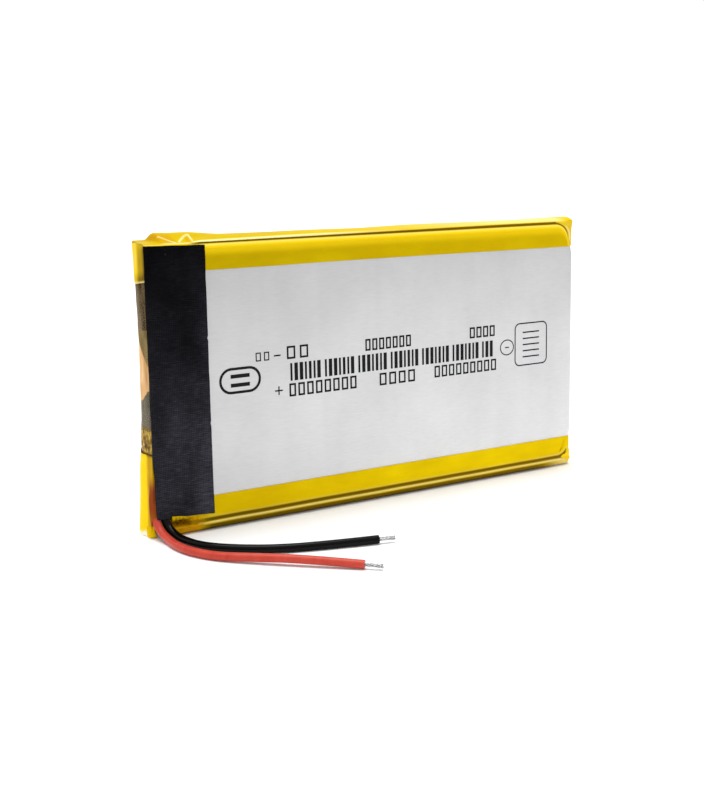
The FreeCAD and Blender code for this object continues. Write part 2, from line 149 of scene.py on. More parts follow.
def math_n(nt, op, a, b=None, c=None, clamp=False):
    n = N(nt, "Math", operation=op, use_clamp=clamp)
    for i, v in enumerate((a, b, c)):
        if v is None:
            continue
        if isinstance(v, tuple):
            nt.links.new(v[0].outputs[v[1]], n.inputs[i])
        elif hasattr(v, "outputs"):
            nt.links.new(v.outputs[0], n.inputs[i])
        else:
            n.inputs[i].default_value = v
    return n

def bump(nt, b, layers):
    """layers: (height node or pair, distance in metres, strength)."""
    prev = None
    for h, dist, st in layers:
        bn = N(nt, "Bump")
        bn.inputs["Strength"].default_value = st
        bn.inputs["Distance"].default_value = dist
        if isinstance(h, tuple):
            nt.links.new(h[0].outputs[h[1]], bn.inputs["Height"])
        else:
            nt.links.new(h.outputs[0], bn.inputs["Height"])
        if prev is not None:
            nt.links.new(prev.outputs[0], bn.inputs["Normal"])
        prev = bn
    nt.links.new(prev.outputs[0], b.inputs["Normal"])

def to(nt, src, b, sock):
    if isinstance(src, tuple):
        nt.links.new(src[0].outputs[src[1]], b.inputs[sock])
    else:
        nt.links.new(src.outputs[0], b.inputs[sock])

def attr(nt, name):
    return N(nt, "Attribute", attribute_type="GEOMETRY", attribute_name=name)

# ------------------------------------------------------------------ materials
def simple(name, c1, c2, scale, rough, metal=0.0, r_var=0.08, bump_mm=0.01, bscale=None, stretch=(1, 1, 1),
           spec=0.5, detail=4.0, coat=0.0):
    """Two-tone mottled surface with its own fine relief."""
    mt, nt, b = new_mat(name)
    co = obj_coords(nt, stretch)
    n1 = tex_noise(nt, co, scale, detail)
    cr = ramp(nt, n1, [(0.32, c1), (0.68, c2)])
    to(nt, cr, b, "Base Color")
    n2 = tex_noise(nt, co, bscale or scale * 2.3, detail)
    rr = ramp(nt, n2, [(0.3, max(0.02, rough - r_var)), (0.7, min(1.0, rough + r_var))])
    to(nt, rr, b, "Roughness")
    b.inputs["Metallic"].default_value = metal
    b.inputs["Specular IOR Level"].default_value = spec
    b.inputs["Coat Weight"].default_value = coat
    bump(nt, b, [(n2, bump_mm * MM, 0.6)])
    return mt

def mat_foil():
    mt, nt, b = new_mat("laminate_film")
    co = obj_coords(nt)
    cloud = tex_noise(nt, co, 55, 3, 0.5)
    c1 = ramp(nt, cloud, [(0.30, (0.715, 0.715, 0.722)), (0.70, (0.790, 0.788, 0.792))])
    grain = tex_noise(nt, obj_coords(nt, (0.12, 1, 1.0)), 4200, 2, 0.5)
    g = ramp(nt, grain, [(0.25, 0.955), (0.75, 1.03)])
    c2 = mix(nt, 1.0, (c1, 0), (g, 0), "MULTIPLY")
    streak = tex_noise(nt, obj_coords(nt, (1.0, 1, 0.10)), 230, 2, 0.5)
    s = ramp(nt, streak, [(0.35, 0.985), (0.65, 1.012)])
    c3 = mix(nt, 1.0, c2, (s, 0), "MULTIPLY")
    # painted reflection: the foil's colour is darker towards the top and lighter low down, where it would mirror the
    # bright floor
    tall = N(nt, "SeparateXYZ")
    nt.links.new(co.outputs[0], tall.inputs[0])
    hz = math_n(nt, "MULTIPLY", (tall, 2), 1 / 0.060)
    gr = ramp(nt, hz, [(0.10, 1.05), (0.50, 0.96), (0.90, 0.795)])
    c4 = mix(nt, 1.0, c3, (gr, 0), "MULTIPLY")
    hx = math_n(nt, "MULTIPLY_ADD", (tall, 0), 1 / 0.110, 0.5)
    gx = ramp(nt, hx, [(0.10, 0.785), (0.48, 0.880), (0.95, 0.893)])
    c5 = mix(nt, 1.0, c4, (gx, 0), "MULTIPLY")
    to(nt, c5, b, "Base Color")
    b.inputs["Metallic"].default_value = 0.55
    b.inputs["Specular IOR Level"].default_value = 0.5
    rn = ramp(nt, tex_noise(nt, co, 140, 3), [(0.3, 0.40), (0.7, 0.47)])
    to(nt, rn, b, "Roughness")
    fine = tex_noise(nt, obj_coords(nt, (0.25, 1, 1.0)), 3000, 3, 0.6)
    wave = tex_noise(nt, obj_coords(nt, (1.0, 1, 0.35)), 90, 2, 0.5)
    bump(nt, b, [(wave, 0.10 * MM, 0.35), (fine, 0.006 * MM, 0.35)])
    return mt

def mat_yellow():
    mt, nt, b = new_mat("yellow_tape")
    co = obj_coords(nt)
    n1 = tex_noise(nt, obj_coords(nt, (0.35, 1, 1)), 260, 4, 0.55)
    base = ramp(nt, n1, [(0.28, (0.735, 0.508, 0.0010)), (0.55, (0.805, 0.565, 0.0012)), (0.78, (0.880, 0.635, 0.0020))])
    big = tex_noise(nt, obj_coords(nt, (1, 1, 0.6)), 48, 2, 0.5)
    tone = ramp(nt, big, [(0.35, (0.96, 0.93, 0.9)), (0.65, (1.05, 1.06, 1.05))])
    c = mix(nt, 1.0, (base, 0), (tone, 0), "MULTIPLY")
    sep = N(nt, "SeparateXYZ")
    nt.links.new(co.outputs[0], sep.inputs[0])
    # painted light: the tape's colour is darker towards the top and lighter towards the bottom, as on the foil
    hz = math_n(nt, "MULTIPLY", (sep, 2), 1 / 0.060)
    gz = ramp(nt, hz, [(0.08, 1.06), (0.85, 0.775)])
    hx = math_n(nt, "MULTIPLY_ADD", (sep, 0), 1 / 0.110, 0.5)
    gx = ramp(nt, hx, [(0.05, 0.88), (0.5, 0.92), (0.95, 1.0)])
    c = mix(nt, 1.0, c, (gz, 0), "MULTIPLY")
    c = mix(nt, 1.0, c, (gx, 0), "MULTIPLY")
    # painted shade, tinted orange: folds, crumples and the tape's shaded facets
    orange_shade = attr(nt, "orange_shade")
    c = mix(nt, (orange_shade, 2), c, (0.58, 0.27, 0.003))
    # painted light: brighter yellow where the tape faces the light
    lite = attr(nt, "lite")
    c = mix(nt, (lite, 2), c, (0.98, 0.665, 0.010))
    # painted highlight and reflection: glints on edges and crease ridges, glare on the top strip
    gold = attr(nt, "gold")
    c = mix(nt, (gold, 2), c, (0.97, 0.86, 0.40))
    # painted light: pale where the tape's lower edges catch bright light; at the ear's foot partly the tape's frayed,
    # see-through edge
    pale = attr(nt, "pale")
    c = mix(nt, (pale, 2), c, (1.0, 0.94, 0.72))
    # painted shade: grooves, creases, undersides and shaded strips, darker towards the terminal end; along the groove
    # partly the darker look of tape bridging the gap under it
    painted_shade = attr(nt, "painted_shade")
    gcol = ramp(nt, hx, [(0.10, (0.120, 0.072, 0.001)), (0.95, (0.190, 0.104, 0.003))])
    c = mix(nt, (painted_shade, 2), c, (gcol, 0))
    lead = attr(nt, "under")
    c = mix(nt, (lead, 2), c, (0.235, 0.040, 0.012))
    to(nt, c, b, "Base Color")
    rr = ramp(nt, tex_noise(nt, co, 500, 3), [(0.3, 0.24), (0.7, 0.36)])
    to(nt, rr, b, "Roughness")
    b.inputs["Specular IOR Level"].default_value = 0.010
    b.inputs["IOR"].default_value = 1.45
    fine = tex_noise(nt, obj_coords(nt, (0.3, 1, 1)), 700, 3, 0.6)
    wave = tex_noise(nt, obj_coords(nt, (0.4, 1, 1)), 150, 2, 0.5)
    bump(nt, b, [(wave, 0.10 * MM, 0.4), (fine, 0.012 * MM, 0.4)])
    return mt

def mat_black_tape():
    mt, nt, b = new_mat("black_tape")
    co = obj_coords(nt)
    w1 = N(nt, "TexWave", wave_type="BANDS", bands_direction="X", wave_profile="SIN")
    w1.inputs["Scale"].default_value = 1 / (0.20 * MM) / 6.0
    w1.inputs["Distortion"].default_value = 0.6
    w1.inputs["Detail"].default_value = 1.0
    nt.links.new(co.outputs[0], w1.inputs["Vector"])
    w2 = N(nt, "TexWave", wave_type="BANDS", bands_direction="Z", wave_profile="SIN")
    w2.inputs["Scale"].default_value = 1 / (0.20 * MM) / 6.0
    w2.inputs["Distortion"].default_value = 0.6
    w2.inputs["Detail"].default_value = 1.0
    nt.links.new(co.outputs[0], w2.inputs["Vector"])
    weave = mix(nt, 0.5, (w1, 0), (w2, 0))
    blot = tex_noise(nt, co, 120, 4, 0.6)
    base = ramp(nt, blot, [(0.30, (0.0145, 0.0143, 0.0185)), (0.70, (0.0245, 0.0242, 0.0305))])
    # painted light: the black tape's colour is much darker towards the top and lighter low down
    sepb = N(nt, "SeparateXYZ")
    nt.links.new(co.outputs[0], sepb.inputs[0])
    hzb = math_n(nt, "MULTIPLY", (sepb, 2), 1 / 0.060)
    wob = math_n(nt, "MULTIPLY_ADD", tex_noise(nt, co, 70, 3, 0.5), 0.5, -0.25)
    hzw = math_n(nt, "ADD", hzb, wob)
    fall = ramp(nt, hzw, [(0.10, 1.15), (0.40, 0.98), (0.60, 0.62), (0.80, 0.20), (0.98, 0.085)])
    base = mix(nt, 1.0, (base, 0), (fall, 0), "MULTIPLY")
    wr = ramp(nt, weave[0], [(0.2, 0.66), (0.8, 1.40)], oi=2)
    c = mix(nt, 1.0, base, (wr, 0), "MULTIPLY")
    brush = tex_noise(nt, obj_coords(nt, (0.18, 1, 1.0)), 3400, 3, 0.6)
    br = ramp(nt, brush, [(0.30, 0.66), (0.52, 1.0), (0.72, 1.60)])
    c = mix(nt, 1.0, c, (br, 0), "MULTIPLY")
    patch = tex_noise(nt, obj_coords(nt, (1.0, 1, 0.45)), 150, 3, 0.6)
    pr = ramp(nt, patch, [(0.32, 0.62), (0.50, 1.0), (0.68, 1.38)])
    c = mix(nt, 1.0, c, (pr, 0), "MULTIPLY")
    hxb = math_n(nt, "MULTIPLY_ADD", (sepb, 0), 1 / 0.014, 4.0)
    sx = ramp(nt, hxb, [(0.10, 0.92), (0.45, 1.0), (0.62, 0.85), (0.80, 1.42), (1.0, 1.5)])
    c = mix(nt, 1.0, c, (sx, 0), "MULTIPLY")
    speck = tex_noise(nt, co, 1500, 1, 0.5)
    sp = ramp(nt, speck, [(0.74, 0.0), (0.80, 1.0)])
    c = mix(nt, (sp, 0), c, (0.030, 0.030, 0.034))
    to(nt, c, b, "Base Color")
    rr = ramp(nt, blot, [(0.3, 0.50), (0.7, 0.66)])
    to(nt, rr, b, "Roughness")
    b.inputs["Specular IOR Level"].default_value = 0.015
    crease = tex_noise(nt, obj_coords(nt, (1, 1, 1.6), (0, 0.5, 0)), 130, 3, 0.55, 0.3)
    bump(nt, b, [(crease, 0.30 * MM, 0.6), (weave, 0.016 * MM, 0.7)])
    return mt

def mat_wire(name, c1, c2, rough, spec):
    mt, nt, b = new_mat(name)
    co = obj_coords(nt)
    n1 = tex_noise(nt, co, 420, 4, 0.6)
    cr = ramp(nt, n1, [(0.3, c1), (0.7, c2)])
    to(nt, cr, b, "Base Color")
    n2 = tex_noise(nt, co, 2600, 2, 0.6)
    rr = ramp(nt, n1, [(0.3, rough - 0.05), (0.7, rough + 0.07)])
    to(nt, rr, b, "Roughness")
    b.inputs["Specular IOR Level"].default_value = spec
    bump(nt, b, [(n1, 0.03 * MM, 0.4), (n2, 0.006 * MM, 0.5)])
    return mt

def mat_strand():
    mt, nt, b = new_mat("tinned_strands")
    co = obj_coords(nt)
    n1 = tex_noise(nt, co, 2600, 3, 0.6)
    cr = ramp(nt, n1, [(0.3, (0.26, 0.26, 0.27)), (0.7, (0.66, 0.66, 0.67))])
    to(nt, cr, b, "Base Color")
    b.inputs["Metallic"].default_value = 1.0
    rr = ramp(nt, n1, [(0.3, 0.18), (0.7, 0.34)])
    to(nt, rr, b, "Roughness")
    bump(nt, b, [(n1, 0.02 * MM, 0.5)])
    return mt

def mat_ink():
    mt, nt, b = new_mat("print_ink")
    co = obj_coords(nt)
    n1 = tex_noise(nt, co, 2600, 3, 0.6)
    cr = ramp(nt, n1, [(0.30, (0.0035, 0.0035, 0.0042)), (0.62, (0.0065, 0.0065, 0.0078)), (0.82, (0.024, 0.024, 0.027))])
    to(nt, cr, b, "Base Color")
    rr = ramp(nt, n1, [(0.3, 0.42), (0.7, 0.58)])
    to(nt, rr, b, "Roughness")
    b.inputs["Specular IOR Level"].default_value = 0.12
    bump(nt, b, [(n1, 0.004 * MM, 0.4)])
    return mt

def mat_amber():
    mt, nt, b = new_mat("amber_film")
    co = obj_coords(nt, (1, 1, 0.5))
    n1 = tex_noise(nt, co, 330, 4, 0.6, 0.6)
    clear = ramp(nt, n1, [(0.3, (0.26, 0.135, 0.022)), (0.7, (0.40, 0.24, 0.060))])
    fold = tex_noise(nt, obj_coords(nt, (1, 1, 0.8)), 900, 3, 0.55, 1.2)
    gold = ramp(nt, fold, [(0.32, (0.15, 0.070, 0.002)), (0.50, (0.42, 0.24, 0.014)), (0.66, (0.80, 0.56, 0.095))])
    n2 = tex_noise(nt, obj_coords(nt, (1, 1, 0.35)), 420, 3, 0.5)
    peach = ramp(nt, n2, [(0.32, (0.62, 0.32, 0.105)), (0.55, (0.84, 0.50, 0.22)), (0.72, (0.93, 0.66, 0.38))])
    dense = attr(nt, "dense")
    pe = attr(nt, "peach")
    dk = attr(nt, "dark")
    c = mix(nt, (dense, 2), (clear, 0), (gold, 0))
    c = mix(nt, (pe, 2), c, (peach, 0))
    c = mix(nt, (dk, 2), c, (0.070, 0.038, 0.008))
    to(nt, c, b, "Base Color")
    al = math_n(nt, "MULTIPLY_ADD", (dense, 2), 0.92, 0.02, clamp=True)
    to(nt, al, b, "Alpha")
    rr = ramp(nt, n1, [(0.3, 0.12), (0.7, 0.26)])
    to(nt, rr, b, "Roughness")
    b.inputs["Specular IOR Level"].default_value = 0.015
    bump(nt, b, [(n1, 0.12 * MM, 0.5), (fold, 0.05 * MM, 0.5)])
    return mt

def toned(name, dark, light, scale, stretch, rough, bump_mm, lines=None):
    """Patch whose lightness follows the painted value "tone", with its own streaks."""
    mt, nt, b = new_mat(name)
    co = obj_coords(nt, stretch)
    n1 = tex_noise(nt, co, scale, 4, 0.6)
    t = attr(nt, "tone")
    v = math_n(nt, "MULTIPLY_ADD", n1, 0.7, -0.35)
    k = math_n(nt, "ADD", v, (t, 2), clamp=True)
    cr = ramp(nt, k, [(0.0, dark), (1.0, light)])
    to(nt, cr, b, "Base Color")
    n2 = tex_noise(nt, co, scale * 2.4, 3)
    rr = ramp(nt, n2, [(0.3, max(0.05, rough - 0.08)), (0.7, rough + 0.08)])
    to(nt, rr, b, "Roughness")
    b.inputs["Specular IOR Level"].default_value = 0.012
    bump(nt, b, [(n1, bump_mm * MM, 0.5)])
    return mt

M = {
    "laminate_film": mat_foil(),
    "yellow_tape": mat_yellow(),
    "black_tape": mat_black_tape(),
    "red_insulation": mat_wire("red_insulation", (0.465, 0.037, 0.020), (0.545, 0.064, 0.037), 0.32, 0.24),
    "black_insulation": mat_wire("black_insulation", (0.0010, 0.0009, 0.0008), (0.0024, 0.0022, 0.0020), 0.17, 0.11),
    "tinned_strands": mat_strand(),
    "print_ink": mat_ink(),
    "amber_film": mat_amber(),
    "anode_coating": simple("anode_coating", (0.035, 0.035, 0.038), (0.062, 0.062, 0.066), 900, 0.62),
    "cathode_coating": simple("cathode_coating", (0.050, 0.050, 0.056), (0.085, 0.085, 0.092), 900, 0.58),
    "separator_film": simple("separator_film", (0.80, 0.80, 0.78), (0.90, 0.90, 0.88), 600, 0.5),
    "bare_aluminium": simple("bare_aluminium", (0.66, 0.66, 0.66), (0.82, 0.82, 0.81), 1500, 0.34, 1.0, stretch=(0.1, 1, 1)),
    "bare_copper": simple("bare_copper", (0.62, 0.30, 0.17), (0.78, 0.43, 0.27), 1500, 0.34, 1.0, stretch=(0.1, 1, 1)),
    "nickel": simple("nickel", (0.52, 0.50, 0.46), (0.68, 0.65, 0.60), 1600, 0.30, 1.0, stretch=(1, 0.1, 1)),
    "binding_tape": simple("binding_tape", (0.07, 0.27, 0.23), (0.11, 0.36, 0.31), 400, 0.24),
    "sealant_film": simple("sealant_film", (0.66, 0.64, 0.54), (0.78, 0.76, 0.68), 700, 0.42),
    "solder_mask": simple("solder_mask", (0.014, 0.018, 0.014), (0.028, 0.036, 0.028), 1200, 0.30),
    "chip_epoxy": simple("chip_epoxy", (0.014, 0.014, 0.015), (0.030, 0.030, 0.032), 2600, 0.55),
    "chip_ceramic": simple("chip_ceramic", (0.34, 0.23, 0.15), (0.48, 0.34, 0.23), 2400, 0.46),
    "resistor_ceramic": simple("resistor_ceramic", (0.02, 0.02, 0.023), (0.05, 0.05, 0.055), 2400, 0.26),
    "tin": simple("tin", (0.60, 0.59, 0.56), (0.80, 0.79, 0.76), 2400, 0.26, 1.0),
    "dark_fabric_patch": toned("dark_fabric_patch", (0.014, 0.008, 0.003), (0.260, 0.205, 0.140), 520, (1, 1.2, 0.35), 0.55, 0.05),
    "insulation_paper": toned("insulation_paper", (0.095, 0.072, 0.028), (0.350, 0.265, 0.115), 420, (1, 1.4, 0.5), 0.62, 0.02),
    "grey_patch": toned("grey_patch", (0.048, 0.049, 0.046), (0.225, 0.220, 0.170), 480, (1, 2.2, 0.15), 0.42, 0.03),
}
for st in frame["record"]["subparts"]:
    ob = NODES.get(st["node"])
    mt = M.get(st["material_slot"])
    if ob is None or mt is None:
        continue
    ob.data.materials.clear()
    ob.data.materials.append(mt)

# ------------------------------------------------------------------ mesh helpers
def make_obj(name, verts, faces, mat, replaces=(), smooth=True, attrs=None, scale=MM, ride=True):
    me = bpy.data.meshes.new(name)
    me.from_pydata([(x * scale, y * scale, z * scale) for x, y, z in verts], [], faces)
    me.update()
    if smooth:
        me.polygons.foreach_set("use_smooth", [True] * len(me.polygons))
    for an, vals in (attrs or {}).items():
        a = me.attributes.new(an, "FLOAT", "POINT")
        a.data.foreach_set("value", [float(v) for v in vals])
    ob = bpy.data.objects.new(name, me)
    scene.collection.objects.link(ob)
    me.materials.append(mat)
    if ride:
        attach(ob, "root")
    if replaces:
        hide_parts(*replaces)
    return ob

def grid_faces(nu, nv, close_v=False, flip=False, start=0):
    f = []
    for i in range(nu - 1):
        for j in range(nv if close_v else nv - 1):
            a = start + i * nv + j
            b = start + i * nv + (j + 1) % nv
            c = start + (i + 1) * nv + (j + 1) % nv
            d = start + (i + 1) * nv + j
            f.append((a, d, c, b) if flip else (a, b, c, d))
    return f

def solidify(ob, t, offset=-1.0):
    md = ob.modifiers.new("thickness", "SOLIDIFY")
    md.thickness = t * MM
    md.offset = offset
    md.use_rim = True
    return md

def subsurf(ob, lv=1):
    md = ob.modifiers.new("smooth", "SUBSURF")
    md.levels = lv
    md.render_levels = lv
    return md

def fbm(x, y, z, s, seed=0.0):
    """Smooth noise in millimetres: s is the size of a feature."""
    return noise.noise(Vector((x / s + seed, y / s + 3.1 * seed, z / s - seed)))

def smooth(a, b, x):
    t = max(0.0, min(1.0, (x - a) / (b - a)))
    return t * t * (3 - 2 * t)

def bump1(x, c, w):
    t = abs(x - c) / w
    return 0.0 if t >= 1 else (1 - t * t) ** 2

# ------------------------------------------------------------------ leads
RED_ROUTE = [(-53.00, -4.20, 20.50), (-53.45, -4.30, 16.30), (-54.45, -4.45, 12.20),
             (-55.00, -4.55, 8.00), (-55.02, -4.80, 4.50), (-54.75, -6.35, 2.05),
             (-54.35, -9.60, 0.90), (-54.75, -14.40, 0.86), (-53.95, -19.70, 0.90),
             (-51.30, -25.10, 0.92), (-46.40, -30.40, 1.20), (-39.60, -37.20, 1.45),
             (-31.20, -45.30, 0.95)]
BLACK_ROUTE = [(-53.00, -2.20, 20.50), (-52.55, -2.70, 16.40), (-52.30, -3.80, 12.20),
               (-52.95, -4.70, 8.20), (-53.22, -4.88, 4.75), (-52.90, -6.40, 2.40),
               (-52.15, -9.30, 0.95), (-51.75, -13.20, 0.86), (-50.30, -18.00, 0.90),
               (-46.10, -22.80, 0.90), (-39.30, -27.60, 0.90), (-30.20, -30.90, 0.90),
               (-20.30, -33.60, 0.95)]
LEAD_D = 1.70

def lead(name, route, mat, slot, node):
    cu = bpy.data.curves.new(name, "CURVE")
    cu.dimensions = "3D"
    sp = cu.splines.new("NURBS")
    sp.points.add(len(route) - 1)
    for p, q in zip(sp.points, route):
        p.co = (q[0] * MM, q[1] * MM, q[2] * MM, 1.0)
    sp.order_u = 3
    sp.use_endpoint_u = True
    sp.resolution_u = 14
    cu.resolution_u = 14
    cu.bevel_depth = LEAD_D / 2 * MM
    cu.bevel_resolution = 8
    cu.use_fill_caps = True
    cu.materials.append(mat)
    ob = bpy.data.objects.new(name, cu)
    scene.collection.objects.link(ob)
    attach(ob, "root")
    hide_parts(node)
    return ob

def route_line(ob):
    """The points of the lead's own smooth line, in millimetres."""
    cu = ob.data.copy()
    cu.bevel_depth = 0.0
    tmp = bpy.data.objects.new("tmp_line", cu)
    scene.collection.objects.link(tmp)
    bpy.context.view_layer.update()
    me = bpy.data.meshes.new_from_object(tmp.evaluated_get(bpy.context.evaluated_depsgraph_get()))
    pts = [Vector(v.co) / MM for v in me.vertices]
    bpy.data.objects.remove(tmp)
    bpy.data.meshes.remove(me)
    return pts

def strands(name, line, seed, n=7, length=3.5, d=0.27, replaces=()):
    """Tinned strands twisted together, leaving the cut insulation and flaring a little at the tip."""
    end, back = line[-1], line[-4]
    t = (end - back).normalized()
    side = t.cross(Vector((0, 0, 1))).normalized()
    upv = side.cross(t)
    verts, faces = [], []
    seg, ring = 22, 8
    for k in range(n):
        r0 = 0.0 if k == 0 else 0.262
        ph = 2 * math.pi * k / max(1, n - 1)
        ln = length * (1 - 0.05 * ((k * 37 + seed) % 5) / 4)
        centre = []
        for i in range(seg + 1):
            s = -0.5 + (ln + 0.5) * i / seg
            a = ph + 1.15 * s
            fl = 1.0 + 0.20 * smooth(0.6 * length, length, s) * (0.4 + ((k * 13 + seed) % 7) / 7)
            sag = -0.05 * smooth(0.4 * length, length, s)
            centre.append(end + t * s + (side * math.cos(a) + upv * math.sin(a)) * (r0 * fl) + Vector((0, 0, sag)))
        base = len(verts)
        for i, c in enumerate(centre):
            tg = (centre[min(i + 1, seg)] - centre[max(i - 1, 0)]).normalized()
            s1 = tg.cross(Vector((0, 0, 1))).normalized()
            s2 = s1.cross(tg)
            rr = d / 2 * (1.0 if i < seg else 0.72)
            for q in range(ring):
                a = 2 * math.pi * q / ring
                p = c + (s1 * math.cos(a) + s2 * math.sin(a)) * rr
                verts.append(tuple(p))
        faces += grid_faces(seg + 1, ring, close_v=True, flip=True, start=base)
        faces.append(tuple(base + seg * ring + q for q in reversed(range(ring))))
    return make_obj(name, verts, faces, M["tinned_strands"], replaces)

red = lead("red_lead_wire", RED_ROUTE, M["red_insulation"], "red_insulation", "red_lead")
black = lead("black_lead_wire", BLACK_ROUTE, M["black_insulation"], "black_insulation", "black_lead")
red_tip = strands("red_lead_strands", route_line(red), 3, replaces=("red_lead_bare_end",))
black_tip = strands("black_lead_strands", route_line(black), 8, replaces=("black_lead_bare_end",))

# ------------------------------------------------------------------ cell body
FACE_Y, FACE_R, CUP_R = 5.80, 1.80, 3.5
CX0, CX1, CZ0, CZ1 = -48.30, 55.15, 0.41, 59.37
T_TAPE = 0.08

def outline_z(x):
    """Lowest and highest z of the cup's outline at x."""
    if x > CX1 - CUP_R:
        q = min(1.0, (x - (CX1 - CUP_R)) / CUP_R)
    elif x < CX0 + CUP_R:
        q = min(1.0, ((CX0 + CUP_R) - x) / CUP_R)
    else:
        q = 0.0
    d = CUP_R - CUP_R * math.sqrt(max(0.0, 1 - q * q))
    return CZ0 + d, CZ1 - d

def inside(x, z, x0=CX0):
    """Distance from (x, z) to the cup's outline, positive inside."""
    dx = min(x - x0, CX1 - x)
    dz = min(z - CZ0, CZ1 - z)
    if dx < CUP_R and dz < CUP_R:
        return CUP_R - math.hypot(CUP_R - dx, CUP_R - dz)
    return min(dx, dz)

def face_h(x, z, x0=CX0):
    """Height of the cup's face above the seam plane."""
    d = max(0.0, inside(x, z, x0))
    if d >= FACE_R:
        return FACE_Y
    return FACE_Y - FACE_R + math.sqrt(max(0.0, FACE_R ** 2 - (FACE_R - d) ** 2))

def spaced(a, b, edge, ne, nm, both=True):
    """Positions from a to b, close together near the ends."""
    out = [a + edge * (1 - math.cos(math.pi / 2 * i / ne)) for i in range(ne)]
    last = b - edge if both else b
    out += [a + edge + (last - a - edge) * i / nm for i in range(nm + 1)]
    if both:
        out += [b - edge * (1 - math.cos(math.pi / 2 * (ne - i) / ne)) for i in range(1, ne + 1)]
    return out

def pouch_half(name, sign, node, seed):
    xs = spaced(CX0, CX1, CUP_R + 0.5, 12, 60)
    ns = 14
    verts = []
    nz = None
    for x in xs:
        z0, z1 = outline_z(x)
        zs = spaced(z0, z1, 3.0, ns, 40)
        nz = len(zs)
        for z in zs:
            h = face_h(x, z)
            d = inside(x, z)
            t = smooth(51.6, 53.4, x) * smooth(7.4, 9.4, z) * (1 - smooth(51.6, 53.3, z))
            if t > 0:
                r = 1.10
                e = max(0.0, d)
                hr = FACE_Y if e >= r else FACE_Y - r + math.sqrt(max(0.0, r ** 2 - (r - e) ** 2))
                h = h + (hr - h) * t
            w = smooth(1.2, 6.0, d)
            h += w * (0.035 * fbm(x, seed, z, 17, seed) + 0.018 * fbm(x * 1.0, seed, z * 0.5, 6, seed) - 0.02)
            verts.append((x, sign * h, z))
    nx = len(xs)
    faces = grid_faces(nx, nz, flip=(sign < 0))
    # side walls, down to the fold or the seam
    loop = [i * nz for i in range(nx)] + [(nx - 1) * nz + j for j in range(1, nz)] \
        + [i * nz + nz - 1 for i in range(nx - 2, -1, -1)] + [j for j in range(nz - 2, 0, -1)]
    prev = loop
    for h, o in ((3.0, 0.0), (2.0, 0.0), (1.0, 0.0), (0.5, 0.01), (0.24, 0.06), (0.0, 0.16)):
        cur = []
        for q in loop:
            x, y, z = verts[q]
            ox = o if x > CX1 - 0.5 else 0.0
            cur.append(len(verts))
            verts.append((x + ox, sign * h, z))
        for k in range(len(loop)):
            a, b = prev[k], prev[(k + 1) % len(loop)]
            c, d = cur[(k + 1) % len(loop)], cur[k]
            faces.append((a, d, c, b) if sign < 0 else (a, b, c, d))
        prev = cur
    return make_obj(name, verts, faces, M["laminate_film"], (node,))

front_skin = pouch_half("pouch_front_skin", -1, "pouch_front_half", 1.7)
rear_skin = pouch_half("pouch_rear_skin", 1, "pouch_rear_half", 5.2)

# ------------------------------------------------------------------ side tapes
TX0, TX1 = -55.28, 55.40
BAND_U, BAND_L = 53.50, 7.30
EAR_PLAN = [(-50.20, 5.86), (-52.00, 5.62), (-53.00, 4.95), (-53.85, 3.25), (-54.50, 1.65),
            (-55.05, 0.20), (-55.28, -1.20), (-55.28, -3.40), (-55.28, -5.70)]
# how far the end wrap stands out (+) or in (-) from its plan outline, against height
END_OUT = [(-0.2, 1.08), (1.5, 0.96), (2.8, 0.88), (4.0, 0.80), (5.3, 0.72), (6.6, 0.66), (7.9, 0.59), (9.1, 0.54),
           (10.4, 0.50), (11.7, 0.45), (12.9, 0.38), (14.2, 0.31), (15.2, 0.19), (16.8, 0.02), (17.5, -0.12),
           (20.0, -0.21), (22.5, -0.22), (25.0, -0.27), (27.5, -0.30), (30.0, -0.30), (32.5, -0.38),
           (35.0, -0.36), (37.5, -0.42), (40.0, -0.41), (42.4, -0.34), (44.9, -0.29), (47.5, -0.19),
           (49.2, -0.18), (50.8, -0.15), (52.4, -0.08), (54.0, -0.08), (55.7, -0.05), (57.3, 0.00), (58.9, 0.06),
           (60.5, 0.08)]

def lin(table, x):
    if x <= table[0][0]:
        return table[0][1]
    for (a, b), (c, d) in zip(table, table[1:]):
        if x <= c:
            return b + (d - b) * (x - a) / (c - a)
    return table[-1][1]

def lerp(a, b, t):
    return a + (b - a) * t

def arc(cy, cz, r, a0, a1, k):
    return [(cy + r * math.cos(math.radians(a0 + (a1 - a0) * i / k)),
             cz + r * math.sin(math.radians(a0 + (a1 - a0) * i / k))) for i in range(k + 1)]

def refine(pts, k):
    """k - 1 extra points on every run of a polyline, on a Catmull-Rom curve."""
    out = []
    for i in range(len(pts) - 1):
        p0, p1, p2, p3 = pts[max(i - 1, 0)], pts[i], pts[i + 1], pts[min(i + 2, len(pts) - 1)]
        for j in range(k):
            t = j / k
            out.append(tuple(0.5 * (2 * b + (c - a) * t + (2 * a - 5 * b + 4 * c - d) * t * t
                                    + (3 * b - a - 3 * c + d) * t ** 3) for a, b, c, d in zip(p0, p1, p2, p3)))
    out.append(tuple(pts[-1]))
    return out

def seg_dist(p, a, b):
    ab = [q - r for q, r in zip(b, a)]
    ap = [q - r for q, r in zip(p, a)]
    t = max(0.0, min(1.0, sum(q * r for q, r in zip(ab, ap)) / max(1e-9, sum(q * q for q in ab))))
    return math.sqrt(sum((r - q * t) ** 2 for q, r in zip(ab, ap)))

def line_dist(p, line):
    return min(seg_dist(p, a, b) for a, b in zip(line, line[1:]))

def plan_y(x):
    """Rearmost y inside the terminal end's plan outline at x."""
    pts = EAR_PLAN
    if x >= pts[0][0]:
        return 9.0
    for (xa, ya), (xb, yb) in zip(pts, pts[1:]):
        if x >= xb:
            return ya + (yb - ya) * (xa - x) / max(1e-6, xa - xb)
    return -5.7

